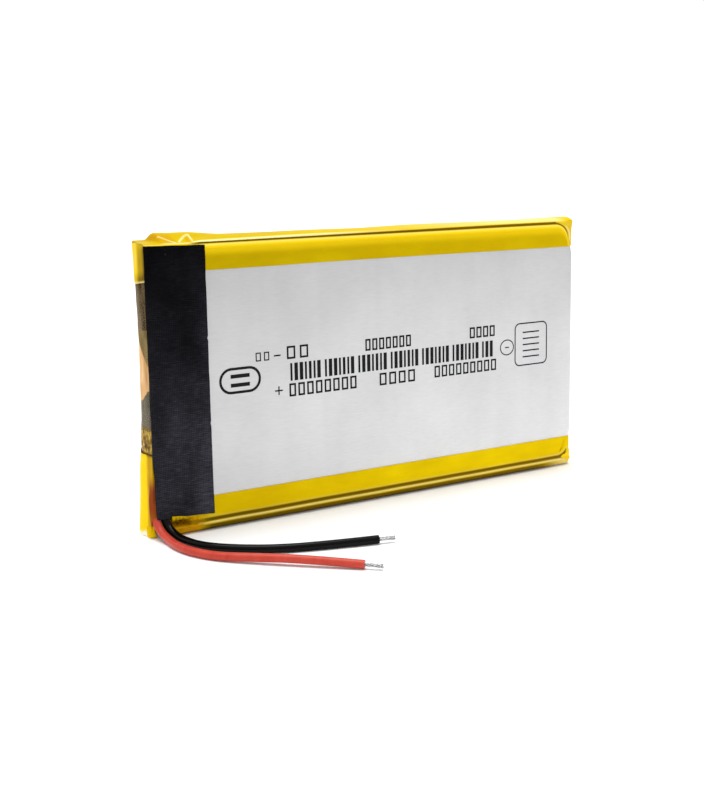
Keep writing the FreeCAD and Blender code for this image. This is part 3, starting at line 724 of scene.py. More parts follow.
class Sheet:
    """Vertices, faces and painted values of one tape, built from several grids."""
    # Most of these values paint light or shade into the tape's colour: the first is painted shade, the second painted
    # highlight and reflection, the fourth painted shade tinted orange, the fifth and sixth painted light (the sixth at
    # the ear's foot partly the tape's frayed edge); the third is the red lead showing through the tape.
    NAMES = ("painted_shade", "gold", "under", "orange_shade", "lite", "pale")
    def __init__(self):
        self.v, self.f, self.a = [], [], {n: [] for n in self.NAMES}
    def add(self, rows, flip=False):
        base = len(self.v)
        n = len(rows[0])
        for row in rows:
            for p, vals in row:
                self.v.append(tuple(p))
                for nm in self.NAMES:
                    self.a[nm].append(max(0.0, min(1.0, vals.get(nm, 0.0))))
        self.f += grid_faces(len(rows), n, flip=flip, start=base)
    def done(self, name, mat, nodes):
        return make_obj(name, self.v, self.f, mat, nodes, attrs=self.a)

# upper tape: (y, z) over the folded seal, over the terminal pocket, and at the ear beyond it
TOP_SEAL = [(3.4, 59.45), (2.6, 59.45), (1.8, 59.455), (1.2, 59.46), (0.75, 59.47), (0.42, 59.58), (0.12, 59.78),
            (-0.2, 59.91), (-0.7, 59.98), (-1.4, 59.975), (-2.2, 59.95), (-3.1, 59.89), (-4.0, 59.81),
            (-4.62, 59.68), (-5.0, 59.53), (-5.30, 59.39)]
TOP_POCKET = [(3.4, 59.60), (2.6, 60.05), (1.8, 60.42), (1.2, 60.65), (0.7, 60.78), (0.4, 60.85), (0.1, 60.88),
              (-0.3, 60.87), (-0.8, 60.79), (-1.4, 60.66), (-2.2, 60.33), (-3.1, 59.93), (-4.0, 59.52),
              (-4.62, 59.25), (-5.0, 59.08), (-5.33, 58.93)]
TOP_EAR = [(3.4, 59.24), (2.6, 59.29), (1.8, 59.32), (1.2, 59.34), (0.7, 59.35), (0.4, 59.35), (0.1, 59.35),
           (-0.3, 59.35), (-0.8, 59.34), (-1.4, 59.33), (-2.2, 59.31), (-3.1, 59.26), (-4.0, 59.18),
           (-4.62, 59.10), (-5.0, 59.02), (-5.33, 58.93)]
LIP_SEAL = [(-5.36, 59.30), (-5.385, 59.20), (-5.37, 59.10), (-5.32, 59.00), (-5.30, 58.91), (-5.34, 58.83),
            (-5.42, 58.77)]
LIP_POCKET = [(-5.42, 58.89), (-5.50, 58.85), (-5.57, 58.81), (-5.64, 58.76), (-5.70, 58.70), (-5.75, 58.62),
              (-5.80, 58.52)]
CREST = [(-44.7, 0.0), (-42.7, 0.18), (-40.4, 0.34), (-38.0, 0.30), (-36.0, 0.26), (-31.0, 0.20), (-24.0, 0.14),
         (-17.0, 0.18), (-9.5, 0.08), (-2.0, 0.02), (9.0, 0.20), (20.0, 0.18), (31.0, 0.08), (43.0, 0.08), (53.0, 0.24),
         (56.0, 0.26)]
FRONT_Z = [(-42.0, -0.10), (-34.0, -0.05), (-20.0, 0.06), (-5.0, 0.05), (11.0, 0.00), (28.0, 0.10), (46.0, 0.10),
           (52.0, 0.06)]
CREASE_A = [(-50.76, -2.46, 60.23), (-50.14, -3.32, 59.84), (-49.32, -4.30, 59.39), (-48.32, -5.08, 59.04)]
CREASE_B = [(-47.41, -4.80, 59.16), (-46.47, -3.77, 59.63), (-45.32, -2.62, 60.16), (-44.12, -1.81, 60.35),
            (-44.31, -3.46, 59.79), (-44.62, -5.32, 58.97)]

def groove_top(x):
    """Height of the line where the upper tape leaves the cup's edge."""
    if x <= 49.7:
        return 58.77
    if x < 53.2:
        return 58.77 - (3.5 - math.sqrt(max(0.0, 3.5 ** 2 - (x - 49.7) ** 2)))
    return max(53.60, 55.27 - (x - 53.2) * 12)

def off_h(x, z, t=T_TAPE):
    """Height of a sheet lying t outside the cup's face and its roll."""
    qx = max(CX0 + CUP_R - x, x - (CX1 - CUP_R))
    qz = max(CZ0 + CUP_R - z, z - (CZ1 - CUP_R))
    d = CUP_R - math.hypot(max(qx, 0.0), max(qz, 0.0)) - min(max(qx, qz), 0.0)
    if d >= FACE_R:
        return FACE_Y + t
    return FACE_Y - FACE_R + math.sqrt(max(0.0, (FACE_R + t) ** 2 - (FACE_R - d) ** 2))

def roll_x(y, t):
    """x of a sheet lying t outside the tail, round both of its rolls."""
    e = max(0.0, abs(y) - (FACE_Y - FACE_R))
    return CX1 - FACE_R + math.sqrt(max(0.0, (FACE_R + t) ** 2 - e ** 2))

def clear(x, y, z, d=T_TAPE):
    """y moved out to the cup's face at (x, z) when it would lie inside it."""
    if inside(min(x, CX1 - 0.001), z) <= 0:
        return y
    return min(y, -off_h(x, z, d))

GROOVE_CURVE = [(46.0, 58.77), (49.7, 58.77)] + [
    (49.7 + 3.5 * math.sin(math.radians(a)), 58.77 - 3.5 + 3.5 * math.cos(math.radians(a))) for a in range(6, 91, 6)] \
    + [(53.22, 54.2)]

def upper_tape():
    sh = Sheet()
    xs = [TX0 + 0.22 * i for i in range(72)]
    x = xs[-1] + 0.5
    while x < 49.6:
        xs.append(x)
        x += 1.25
    xs += [49.9 + 0.1475 * i for i in range(37)]
    seal, pocket, ear = refine(TOP_SEAL, 3), refine(TOP_POCKET, 3), refine(TOP_EAR, 3)
    lip_s, lip_p = refine(LIP_SEAL, 2), refine(LIP_POCKET, 2)
    rows = []
    for x in xs:
        xc = min(x, CX1 - 0.001)
        top_r = outline_z(xc)[1] if xc > 0 else CZ1
        drop = top_r - CZ1                                        # negative at the tail's corner
        q = 1 - smooth(-44.0, -35.8, x)                           # how much this is the pocket's crown
        qf = 1 - smooth(-46.2, -42.6, x)                          # the same for its front edge
        st = smooth(-51.55, -50.75, x)                            # ear to pocket
        tail_round = 0.0
        if x > 54.8:
            u = min(1.0, (x - 54.8) / 0.42)
            tail_round = -(0.30 - 0.30 * math.sqrt(max(0.0, 1 - u * u)))
        ylim = plan_y(x)
        col = []
        def put(y, z, **kw):
            yy = min(y, ylim)
            col.append(((x, yy, z), kw))
        for k in range(6):
            z = BAND_U + (57.57 + drop - BAND_U) * k / 5
            put(off_h(max(x, CX0 + 6), min(z, CZ1)), z)
        for k in range(1, 9):
            a = math.pi / 2 * k / 8
            z = top_r - FACE_R + (FACE_R + T_TAPE) * math.sin(a)
            y = (FACE_Y - FACE_R) + (FACE_R + T_TAPE) * math.cos(a)
            put(min(y, off_h(x, z)) if xc > 53 else y, z)
        n = len(seal)
        cr = lin(CREST, x)
        for k in range(n):
            (ys, zs), (yp, zp), (ye, ze) = seal[k], pocket[k], ear[k]
            zs = zs + cr * smooth(-5.4, -2.0, ys) * (1 - smooth(0.4, 3.2, ys)) + lin(FRONT_Z, x) * (1 - smooth(-5.3, -3.0, ys))
            zp += 0.11 * (1 - smooth(-50.2, -47.4, x))
            zs += 0.26 * smooth(52.3, 54.8, x) * smooth(0.8, 4.1, -ys) * (1 - 0.35 * smooth(4.5, 5.3, -ys))
            yq, zq = lerp(ye, yp, st), lerp(ze, zp, st)
            w = lerp(q, qf, max(0.0, min(1.0, (-2.0 - ys) / 2.6)))
            y, z = lerp(ys, yq, w), lerp(zs, zq, w) + tail_round
            z += 0.035 * fbm(x, y * 2, 0, 9, 2.0) * (0.4 + 0.6 * (y > -3.5))
            if st < 1 and x < -50.5:
                z += 0.06 * fbm(x, y, 0, 1.6, 3.0)
            p = (x, min(y, ylim), z)
            orange_shade = gold = 0.0
            if -52.5 < x < -42.0:
                da, db = line_dist(p, CREASE_A), line_dist(p, CREASE_B)
                d = min(da, db)
                ridge = math.exp(-(d / 0.20) ** 2)
                z += 0.14 * ridge
                # painted highlight along the crease ridges
                gold = 0.95 * math.exp(-(d / 0.17) ** 2)
                # painted shade, tinted orange, inside the crease arch and over the pocket's left part
                inside_arch = max(0.0, 1 - seg_dist(p, (-45.3, -4.4, 59.4), (-44.9, -3.2, 59.9)) / 0.75)
                left = smooth(-51.6, -50.9, x) * (1 - smooth(-48.6, -47.4, x)) if y < 0 else 0.0
                orange_shade = max(0.75 * inside_arch, 0.55 * left * smooth(0.5, 2.5, -y) * (1 - 0.5 * smooth(4.3, 5.3, -y)))
                # painted highlight along the crown's front edge above the black tape
                if y < -5.1:
                    gold = max(gold, 0.55 * (1 - smooth(0.0, 0.42, abs(p[2] - 58.95))) * smooth(-52.0, -50.0, x)
                               * (1 - smooth(-46.0, -44.5, x)))
            else:
                gold = 0.0
            # painted highlight on the seal's raw front edge
            if w < 0.5 and y < -4.9:
                gold = max(gold, 0.85 * max(0.0, min(1.0, (-4.95 - y) / 0.3)) * (1 - smooth(-24, 16, x)))
            # painted shade, tinted orange, at the step from ear to pocket
            step = smooth(-51.9, -51.2, x) * (1 - smooth(-51.0, -50.4, x))
            orange_shade = max(orange_shade, 0.5 * step * (1 if y > -4.5 else 0.4))
            # painted reflection on the top strip, paler towards the tail, and painted light over all of it
            col.append(((x, p[1], z), dict(gold=max(gold, 0.50 * smooth(-5, 45, x) * (1 - smooth(50, 54, x))), orange_shade=orange_shade, lite=lerp(0.10, 0.36, smooth(-44, 45, x)) * (1 - orange_shade))))
        gw = 0.25 + 0.27 * smooth(-46, 40, x)
        band_z = BAND_U - 0.13 * smooth(5, 45, x) - 0.09 * (1 - smooth(-30, -12, x))
        g_line = groove_top(x)
        fil = face_h(min(x, CX1 - 0.001), 30.0) + T_TAPE                # the cup's roll at the tail
        for k in range(len(lip_s)):
            (ys, zs), (yp, zp) = lip_s[k], lip_p[k]
            zf = 59.39 + lin(FRONT_Z, x) + tail_round * 0.8 + 0.12 * smooth(52.3, 54.8, x)
            frac = (59.39 - zs) / (59.39 - 58.77)
            zz = zf + (g_line - zf) * frac
            y, z = lerp(ys, yp, qf), lerp(zz, zp, qf)
            if x > 49.9:
                wall = lin([(49.9, 5.42), (52.4, 5.52), (53.2, 5.46), (54.4, 5.22), (55.2, 4.92)], x)
                y = clear(x, lerp(y, -wall, smooth(49.9, 51.0, x) * min(1.0, frac * 3)), z, 0.06)
            # painted shade in the groove (partly the darker look of tape bridging the gap under it), painted highlight
            # on the raw edge above it, a pale streak round the tail's corner, and painted light elsewhere on the lip
            if x > 49.9:
                d = line_dist((x, z), GROOVE_CURVE)
                g = (1 - smooth(0.24, 0.42, d)) * smooth(55.0, 57.6, z)
                streak = math.exp(-((d - 0.85) / 0.28) ** 2) * smooth(54.4, 55.4, z) * (1 - smooth(57.8, 58.6, z)) * smooth(52.2, 53.0, x)
                go = 0.05 + 0.55 * streak
            else:
                g = (1 - smooth(gw * 0.85, gw * 1.15, z - g_line)) * (1 - qf)
                go = 0.95 * (1 - g) * (1 - smooth(-26, 14, x)) * (1 - qf) + 0.5 * qf * (1 - smooth(0.0, 0.5, frac))
            col.append(((x, min(y, ylim), z), dict(painted_shade=0.97 * g, gold=go * (1 - g), lite=0.38 * (1 - g))))
        for k in range(0, 9):
            a = math.radians(141 + (180 - 141) * k / 8)
            z = g_line - (58.753 - (CZ1 - FACE_R + (FACE_R + T_TAPE) * math.sin(a)))
            z = max(z, BAND_U + 0.03 * (9 - k))
            y = -(FACE_Y - FACE_R) + (FACE_R + T_TAPE) * math.cos(a)
            if x > 49.9:
                y = lerp(y, -off_h(x, z), smooth(49.9, 50.8, x))
            if qf > 0:
                y, z = lerp(y, -5.82 - 0.06 * k / 8, qf), lerp(z, 58.5 - 0.95 * k / 8, qf)
            # painted shade where the rounded corner meets the groove, a painted highlight on the corner and painted
            # light down it
            g = 0.80 * (1 - smooth(0.0, 0.9, k)) * (1 - qf) * smooth(55.0, 57.6, z)
            col.append(((x, min(y, ylim), z), dict(painted_shade=g, gold=0.30 * bump1(k, 2.5, 2.0) * (1 - qf),
                                                   lite=0.95 * smooth(0.5, 2.0, k) * (1 - 0.45 * smooth(4.0, 8.0, k)))))
        z_arc = col[-1][0][2]
        for k in range(1, 11):
            z = z_arc + (band_z - z_arc) * k / 10
            y = -off_h(x, z) if x > 49.9 else -(FACE_Y + T_TAPE)
            # painted light at the band's top and painted shade below it, stronger towards the terminal end
            col.append(((x, y - 0.012 * fbm(x, 0, z, 5, 8.0), z),
                        dict(lite=0.52 * (1 - smooth(0.0, 4.0, k)),
                             painted_shade=(0.02 + 0.14 * (1 - smooth(-32, 12, x))) * smooth(1.5, 5.0, k))))
        rows.append(col)
    sh.add(rows)
    # square tuck over the tail's fold
    last = rows[-1]
    ring = [p for p, _ in last]
    tuck = []
    for s in range(7):
        f = s / 6
        z0 = 55.0
        col = []
        for j in range(17):
            y = 5.84 + (-4.86 - 5.84) * j / 16
            tops = [p[2] for p in ring if abs(p[1] - y) < 0.55 and p[2] > 55.2]
            zt = max(tops) if tops else 59.0
            edge = min(1.0, min(5.9 - y, y + 4.93) / 1.2)
            z = lerp(z0, zt, f)
            x = roll_x(y, 0.21) - 0.12 * f ** 3 + 0.03 * fbm(y, z, 0, 2.0, 1.3)
            # painted light over the tuck
            col.append(((x, y, z), dict(lite=0.3)))
        tuck.append(col)
    sh.add(tuck, flip=True)
    # web from the last station to the tuck
    side = [p for p in ring if p[2] > 55.0]
    sh.add([[(p, {}) for p in side],
            [((55.345, p[1] * 0.985, p[2] - 0.02), {}) for p in side]])
    # ear over the terminal end
    plan = refine(EAR_PLAN, 4)
    ear_rows = []
    for i, (px_, py_) in enumerate(plan):
        a = plan[max(i - 1, 0)]
        b = plan[min(i + 1, len(plan) - 1)]
        tl = math.hypot(b[0] - a[0], b[1] - a[1])
        nx, ny = (b[1] - a[1]) / tl, -(b[0] - a[0]) / tl            # outwards
        zlow = lerp(50.80, 51.80, max(0.0, min(1.0, (2.0 - py_) / 7.5)))
        ztop = lin([(y, z) for y, z in TOP_EAR[::-1]], py_) + 0.02
        col = []
        for k in range(15):
            f = k / 14
            z = lerp(zlow, ztop, f)
            w = 1 - 0.75 * max(0.0, min(1.0, (0.5 - py_) / 3.0))
            ex = lin(END_OUT, z) * w if py_ < 5.0 else lin(END_OUT, z) * max(0.0, (5.9 - py_) / 0.9)
            facet = 0.10 * bump1(py_, -0.9, 1.3)
            roll = -0.05 * (1 - f) ** 6
            off = T_TAPE + 0.04 + facet + roll + 0.03 * fbm(py_ * 1.2, z, 0, 3.0, 7.0)
            x = px_ + nx * off - ex
            # painted light on the ear's strip before the fold; painted shade, tinted orange and darker, on the strip
            # beyond it, at its foot, along small wrinkles and in a painted shadow near its front top corner; painted
            # highlights on the top edge and in a glint
            y = py_ + ny * off
            fold = smooth(-1.9, -2.7, py_)
            edge_hi = 1 - smooth(0.015, 0.04, f)
            line = bump1(py_, -2.3, 0.55)
            low = 1 - smooth(0.06, 0.34, f)
            glint = bump1(py_, -1.55, 0.42) * smooth(0.22, 0.5, f)
            wrinkle = 0.10 * fbm(py_ * 1.4, z * 0.7, 0, 1.4, 2.4)
            deep = smooth(-1.9, -3.4, py_)
            shadow = smooth(-4.55, -4.95, py_) * smooth(58.9, 58.4, z)
            col.append(((x, y, z), dict(lite=(0.72 - 0.15 * bump1(py_, 0.2, 1.2)) * (1 - fold) * (1 - 0.5 * low),
                                        orange_shade=0.18 * deep + 0.25 * low,
                                        painted_shade=(deep * (0.34 * smooth(58.9, 57.8, z) + wrinkle) + (0.10 + 0.50 * smooth(-1.5, -2.4, py_)) * low
                                                + 0.58 * shadow) * (1 - edge_hi),
                                        gold=max(0.70 * edge_hi, 0.25 * glint))))
        ear_rows.append(col)
    sh.add(ear_rows, flip=True)
    return sh.done("side_tape_upper_skin", M["yellow_tape"], ("side_tape_upper",))

RED_UNDER = [(-53.45, -4.30, 16.30), (-54.45, -4.45, 12.20), (-55.00, -4.55, 8.00), (-55.02, -4.80, 4.50),
             (-54.90, -5.50, 3.20)]

def lower_tape():
    sh = Sheet()
    xs = [-51.70 + 0.19 * i for i in range(62)]
    x = xs[-1] + 0.6
    while x < 49.8:
        xs.append(x)
        x += 1.25
    xs += [50.0 + 0.2092 * i for i in range(26)]
    def rear_rows(x):
        xc = min(x, CX1 - 0.001)
        bz = outline_z(xc)[0] if xc > 0 else CZ0
        ylim = plan_y(x)
        col = []
        for k in range(6):
            z = BAND_L + (bz + FACE_R - BAND_L) * k / 5
            col.append(((x, min(ylim, off_h(max(x, CX0 + 6), max(z, CZ0))), z), {}))
        for k in range(1, 9):
            a = math.pi / 2 * k / 8
            z = bz + FACE_R - (FACE_R + T_TAPE) * math.sin(a)
            y = (FACE_Y - FACE_R) + (FACE_R + T_TAPE) * math.cos(a)
            if xc > 53:
                y = min(y, off_h(x, z))
            col.append(((x, min(ylim, y), z), {}))
        for y, z in ((3.2, 0.33), (2.2, 0.33), (1.3, 0.30), (0.75, 0.24), (0.42, 0.12), (0.15, 0.03), (-0.2, 0.01),
                     (-1.2, 0.01), (-2.2, 0.01), (-3.2, 0.01), (-3.88, 0.01)):
            col.append(((x, min(ylim, y), z), {}))
        return col, bz
    rows = []
    for x in xs:
        col, bz = rear_rows(x)
        slant = -6.60 + max(0.0, x - 51.80) * 2.7 / 4.7 if x > 51.8 else -9.0
        fil = face_h(min(x, CX1 - 0.001), 30.0) + T_TAPE
        rise = 3.5 - math.sqrt(max(0.0, 3.5 ** 2 - max(0.0, min(2.9, x - 50.5)) ** 2))
        crum = 1 - smooth(-46.6, -42.6, x)                       # crumpled by the pocket
        wavy = 0.04 * fbm(x, 0, 0, 8, 6.0)
        def put(y, z, **kw):
            yy = max(y, slant)
            col.append(((x, clear(x, yy, z, 0.06) if x > 50 else yy, z), kw))
        for k in range(1, 13):
            a = math.radians(80 * k / 12)
            y = -4.0 - 2.20 * math.sin(a)
            z = 2.21 - 2.20 * math.cos(a) + wavy * k / 12
            z = max(z, 0.012 + 0.10 * smooth(49.5, 54.5, x))
            y += 0.10 * crum * fbm(x, z, 0, 1.4, 2.2)
            # painted shade on the wrap's underside, and in the crumples by the pocket with an orange tint; painted
            # light paling the underside near the tail; painted highlight along the wrap's top and a painted glow
            # towards the tail
            dk = 0.96 * (1 - smooth(9.6, 11.4, k)) * (1 - smooth(44, 53, x)) * (1 - crum)
            wr = max(0.0, fbm(x * 1.2, z * 1.6, 5, 0.8, 6.6)) * 1.5 * crum
            put(y - 0.10 * crum * wr, z, painted_shade=dk + 0.30 * wr, orange_shade=0.95 * crum, lite=0.0,
                pale=smooth(45, 53, x) * (1 - smooth(3.0, 7.5, k)),
                gold=0.55 * smooth(10.6, 12.0, k) * (1 - crum) + 0.35 * smooth(45, 52, x) * smooth(3.0, 9.0, k))
        # painted highlight on the flange's edge, brighter towards the tail, and painted shade in the groove above it;
        # by the pocket, painted shade with an orange tint in dark blotches over the crumples
        hi = smooth(40, 50, x)
        for y, z, g, go in ((-6.185, 1.80, 0.0, 0.62), (-6.18, 1.90, 0.05, 0.55), (-6.12, 1.98, 0.40, 0.2),
                            (-6.04, 2.06, 0.66, 0.0), (-5.97, 2.18, 0.88, 0.0), (-5.94, 2.32, 0.98, 0.0),
                            (-5.925, 2.46, 1.0, 0.0), (-5.91, 2.60, 0.97, 0.0), (-5.90, 2.72, 0.80, 0.0),
                            (-5.89, 2.84, 0.38, 0.05), (-5.885, 2.96, 0.10, 0.10)):
            t = smooth(1.85, 2.45, z)
            wr = fbm(x * 1.25, z * 1.25, 0, 0.8, 4.4)
            near = 1 - 0.8 * smooth(-48.9, -47.4, x)
            dark_wr = max(0.0, fbm(x * 1.15, z * 1.1, 2, 0.62, 5.0)) * 3.4 * near
            put(max(y - crum * (0.24 * wr + 0.04), -fil - 0.04), z + wavy + rise * t + 0.16 * crum * fbm(x, z, 1, 0.9, 9.0),
                painted_shade=g * (1 - 0.45 * crum) * (1 - smooth(53.0, 53.8, x)) + 0.55 * crum * dark_wr,
                gold=go * (1 - crum) + 0.2 * hi * (1 - g),
                orange_shade=crum * (0.85 + 0.6 * fbm(x, z, 3, 0.8, 3.3)))
        z_first = col[-1][0][2]
        for k in range(1, 12):
            z = z_first + (BAND_L - z_first) * k / 11
            y = -(FACE_Y + T_TAPE + 0.005)
            if x > 50:
                web = lin([(50.0, 5.5), (53.2, 5.4), (54.4, 5.1), (55.2, 4.64)], x) * (1 - smooth(4.6, 6.0, z))
                y = -max(web, off_h(x, z))
            y -= 0.012 * fbm(x, 0, z, 5, 9.0)
            cw = crum * (1 - smooth(0, 3, k)) * 0.16 * fbm(x * 1.3, z, 0, 0.9, 4.4)
            # painted shade along a short crease and to its upper right, and over the crumples by the pocket, tinted
            # orange there
            crease = math.exp(-(seg_dist((x, 0, z), (51.85, 0, 4.45), (51.45, 0, 3.85)) / 0.20) ** 2)
            shade = 0.22 * math.exp(-(seg_dist((x, 0, z), (52.6, 0, 6.2), (52.2, 0, 4.6)) / 0.40) ** 2)
            wr = (0.50 + 1.3 * fbm(x * 1.15, z, 2, 0.62, 5.0)) * crum * (1 - smooth(1.0, 3.5, k)) * (1 - 0.7 * smooth(-48.6, -47.0, x))
            col.append(((x, y - cw, z), dict(painted_shade=0.70 * crease + shade + wr, orange_shade=0.70 * crum * (1 - smooth(0, 4, k)))))
        rows.append(col)
    sh.add(rows, flip=True)
    # bottom sheet under the terminal pocket
    rows = []
    for i in range(12):
        x = -53.30 + (-51.70 + 53.30) * i / 11
        rows.append(rear_rows(x)[0])
    sh.add(rows, flip=True)
    # tuck at the tail
    tuck = []
    for s in range(6):
        f = s / 5
        col = []
        for j in range(17):
            y = 5.84 + (-4.75 - 5.84) * j / 16
            edge = max(0.0, min(1.0, min(5.9 - y, y + 4.9) / 1.2))
            z = lerp(0.16 + 0.5 * (1 - edge), 5.8, f)
            x = roll_x(y, 0.21) - 0.10 * (1 - f) ** 3 + 0.03 * fbm(y, z, 0, 2.0, 4.3)
            col.append(((x, y, z), {}))
        tuck.append(col)
    sh.add(tuck, flip=True)
    # crumpled corner where the wrap is tucked in at the tail
    crumple = [[(51.6, -5.78, 2.50), (52.8, -5.86, 2.90), (54.0, -5.66, 3.25), (54.95, -5.00, 3.65), (55.52, -4.55, 3.90)],
               [(51.9, -6.00, 2.05), (53.0, -6.08, 2.35), (54.2, -5.70, 2.55), (55.1, -5.15, 2.80), (55.66, -4.60, 3.00)],
               [(52.4, -5.95, 1.50), (53.5, -5.90, 1.75), (54.4, -5.95, 1.85), (55.1, -5.00, 2.05), (55.52, -4.50, 2.15)],
               [(53.2, -5.55, 1.00), (54.0, -5.65, 1.15), (54.7, -5.40, 1.30), (55.1, -4.95, 1.45), (55.40, -4.40, 1.50)],
               [(53.6, -5.00, 0.62), (54.2, -5.05, 0.66), (54.8, -4.85, 0.80), (55.1, -4.50, 0.92), (55.36, -4.20, 0.90)]]
    fine = [refine(r, 4) for r in crumple]
    fine = list(map(list, zip(*[refine(list(c), 4) for c in zip(*fine)])))
    rows = []
    for i, r in enumerate(fine):
        row = []
        for j, (x, y, z) in enumerate(r):
            # painted light over the crumpled corner, painted shade tinted orange in its folds, and a faint painted
            # highlight
            n1 = fbm(x, y, z, 0.9, 6.1)
            row.append(((min(x, 55.72), y + 0.20 * n1, z + 0.10 * fbm(x, z, y, 0.8, 2.6)),
                        dict(orange_shade=0.9 * max(0.0, n1) if j > 4 else 0.30, gold=0.22 * (1 - smooth(2, 5, j)) * smooth(4, 10, i),
                             lite=0.85)))
        rows.append(row)
    sh.add(rows, flip=True)
    # ear up the terminal end, standing over the red lead
    plan = refine([(-46.90, 5.84), (-48.60, 5.85)] + EAR_PLAN, 5) + [(-55.26, -5.80), (-55.20, -5.84), (-54.95, -5.86), (-54.6, -5.86)]
    ear_rows = []
    for i, (px_, py_) in enumerate(plan):
        a = plan[max(i - 1, 0)]
        b = plan[min(i + 1, len(plan) - 1)]
        tl = math.hypot(b[0] - a[0], b[1] - a[1])
        nx, ny = (b[1] - a[1]) / tl, -(b[0] - a[0]) / tl
        front = max(0.0, min(1.0, (0.5 - py_) / 3.0))
        ztop = lerp(16.80, 17.20, max(0.0, min(1.0, (0.5 - py_) / 6.0)))
        jag = 0.25 * fbm(py_ * 2.2, 0, 0, 1.0, 3.1)
        zbot = lin([(-5.9, 4.5), (-5.7, 4.3), (-5.3, 3.4), (-5.0, 2.2), (-4.6, 1.2), (-3.9, 0.60), (-3.7, 0.75), (-3.5, 1.50),
                    (-2.5, 1.30), (-1.0, 0.95), (0.5, 0.60), (2.0, 0.9), (4.9, 1.50), (5.9, 1.50)], py_)
        if -3.4 < py_ < 5.5:
            zbot += jag * 0.25
        foot = zbot
        if -3.7 < py_ < 4.0:
            zbot = 0.08 + 0.30 * smooth(2.6, 4.0, py_)
        col = []
        for k in range(45):
            f = k / 44
            z = lerp(zbot, ztop, f)
            w = 1 - 0.72 * front if z > 6 else 1 - (0.72 - 0.10 * max(0.0, min(1.0, (6 - z) / 5))) * front
            ex = -lin(END_OUT, z) * w * (1.0 if py_ < 4.6 else max(0.0, (5.9 - py_) / 1.3))
            off = T_TAPE + 0.02 + 0.035 * fbm(py_ * 1.2, z * 0.6, 0, 2.2, 9.0)
            x = px_ + nx * off + ex
            y = py_ + ny * off
            if i >= len(plan) - 4:
                x, y = px_ - 0.12 * (1 - smooth(7.0, 10.0, z)), py_ + 0.30 * smooth(6.5, 8.5, z)
            # bulge over the red lead
            cz = max(4.5, min(16.3, z))
            lx = lin([(4.5, -55.02), (8.0, -55.00), (12.2, -54.45), (16.3, -53.45)], cz)
            ly = lin([(2.0, -5.6), (3.2, -5.3), (4.5, -4.80), (8.0, -4.55), (12.2, -4.45), (16.3, -4.30)], z)
            dy = abs(y - ly)
            r = 0.85 + T_TAPE + 0.05
            if dy < 2.3:
                hump = lx - (math.sqrt(max(0.0, r * r - dy * dy)) if dy < r * 0.75 else
                             r * 0.66 - (dy - r * 0.75) * 0.62)
                if z > 2.6 and i < len(plan) - 4:
                    x = min(x, hump)
            d = line_dist((lx if dy < 3 else x, y, z), [(lx, p[1], p[2]) for p in RED_UNDER])
            un = (1 - smooth(0.30, 1.0, dy) if y > ly else 1.0) * (1 - smooth(9.8, 13.4, z))
            if i >= len(plan) - 4:
                un = 1 - smooth(9.8, 13.4, z)
            if z < 2.2 and py_ > -4.2:
                un *= 0.3
            # painted shade, tinted orange, on the ear's strip beyond the fold, with a darker painted shade line at its
            # top edge; painted light on the strip before it; a painted highlight along the old foot edge; below that
            # the foot is painted pale, partly the tape's frayed, see-through edge and partly painted light standing for
            # the bright gap under the ear
            darker = smooth(-2.3, -3.3, py_)
            top_edge = 1 - smooth(0.0, 0.035, 1 - f)
            foot_highlight = 0.8 * math.exp(-((z - foot) / 0.16) ** 2) if py_ > -3.3 else 0.0
            fray_and_light = 1 - smooth(foot - 0.25, foot - 0.02, z) if py_ > -3.7 else 0.0
            green = bump1(py_, -4.2, 1.1) * smooth(12.0, 15.0, z) * 0.25
            col.append(((x, y, z), dict(under=(0.95 - 0.25 * (1 - smooth(3.5, 6.0, z))) * un, orange_shade=darker * (0.35 + 0.65 * smooth(1.5, 4.0, z)) * (0.92 - 0.42 * smooth(11.0, 14.0, z)) + green,
                                        painted_shade=darker * (0.10 + 0.16 * smooth(11.0, 14.0, z)) * smooth(-2.6, -4.0, py_)
                                        + 0.75 * top_edge * darker,
                                        gold=0.6 * foot_highlight, pale=0.96 * fray_and_light, lite=(0.72 + 0.2 * fbm(py_, z, 0, 2.4, 6.0)) * (1 - darker) * (1 - 0.8 * top_edge))))
        ear_rows.append(col)
    sh.add(ear_rows, flip=True)
    # flap at the ear's foot, turned in under the red lead
    flap = [[(-56.27, -3.55, 2.60), (-56.10, -4.30, 2.65), (-55.75, -4.95, 2.75), (-55.35, -5.15, 2.60)],
            [(-56.30, -3.60, 1.30), (-56.05, -4.15, 1.30), (-55.60, -4.65, 1.25), (-55.05, -4.75, 1.10)],
            [(-56.25, -3.62, 0.45), (-55.85, -4.00, 0.30), (-55.20, -4.25, 0.22), (-54.50, -4.35, 0.25)],
            [(-56.05, -3.62, 0.06), (-55.50, -3.90, 0.04), (-54.90, -4.10, 0.03), (-54.15, -4.22, 0.03)]]
    fine = [refine(r, 4) for r in flap]
    fine = list(map(list, zip(*[refine(list(c), 4) for c in zip(*fine)])))
    # painted light low on the flap, painted shade tinted orange higher up and along a narrow band
    sh.add([[((x, y, max(0.02, z)), dict(orange_shade=0.30 * smooth(0.3, 2.0, z) + 0.2 * bump1(x, -55.7, 0.3), lite=0.5 * (1 - smooth(0.3, 1.6, z))))
             for x, y, z in r] for r in fine], flip=True)
    return sh.done("side_tape_lower_skin", M["yellow_tape"], ("side_tape_lower",))

tape_u = upper_tape()
tape_l = lower_tape()

# ------------------------------------------------------------------ terminal end
def end_point(py_, px_, nx, ny, z, inset):
    w = 1 - 0.55 * max(0.0, min(1.0, (-1.5 - py_) / 4.0))
    ex = -lin(END_OUT, z) * (1.0 if py_ < 4.6 else max(0.0, (5.9 - py_) / 1.3))
    off = T_TAPE - inset
    return px_ + nx * off + ex * (0.75 + 0.25 * w), py_ + ny * off

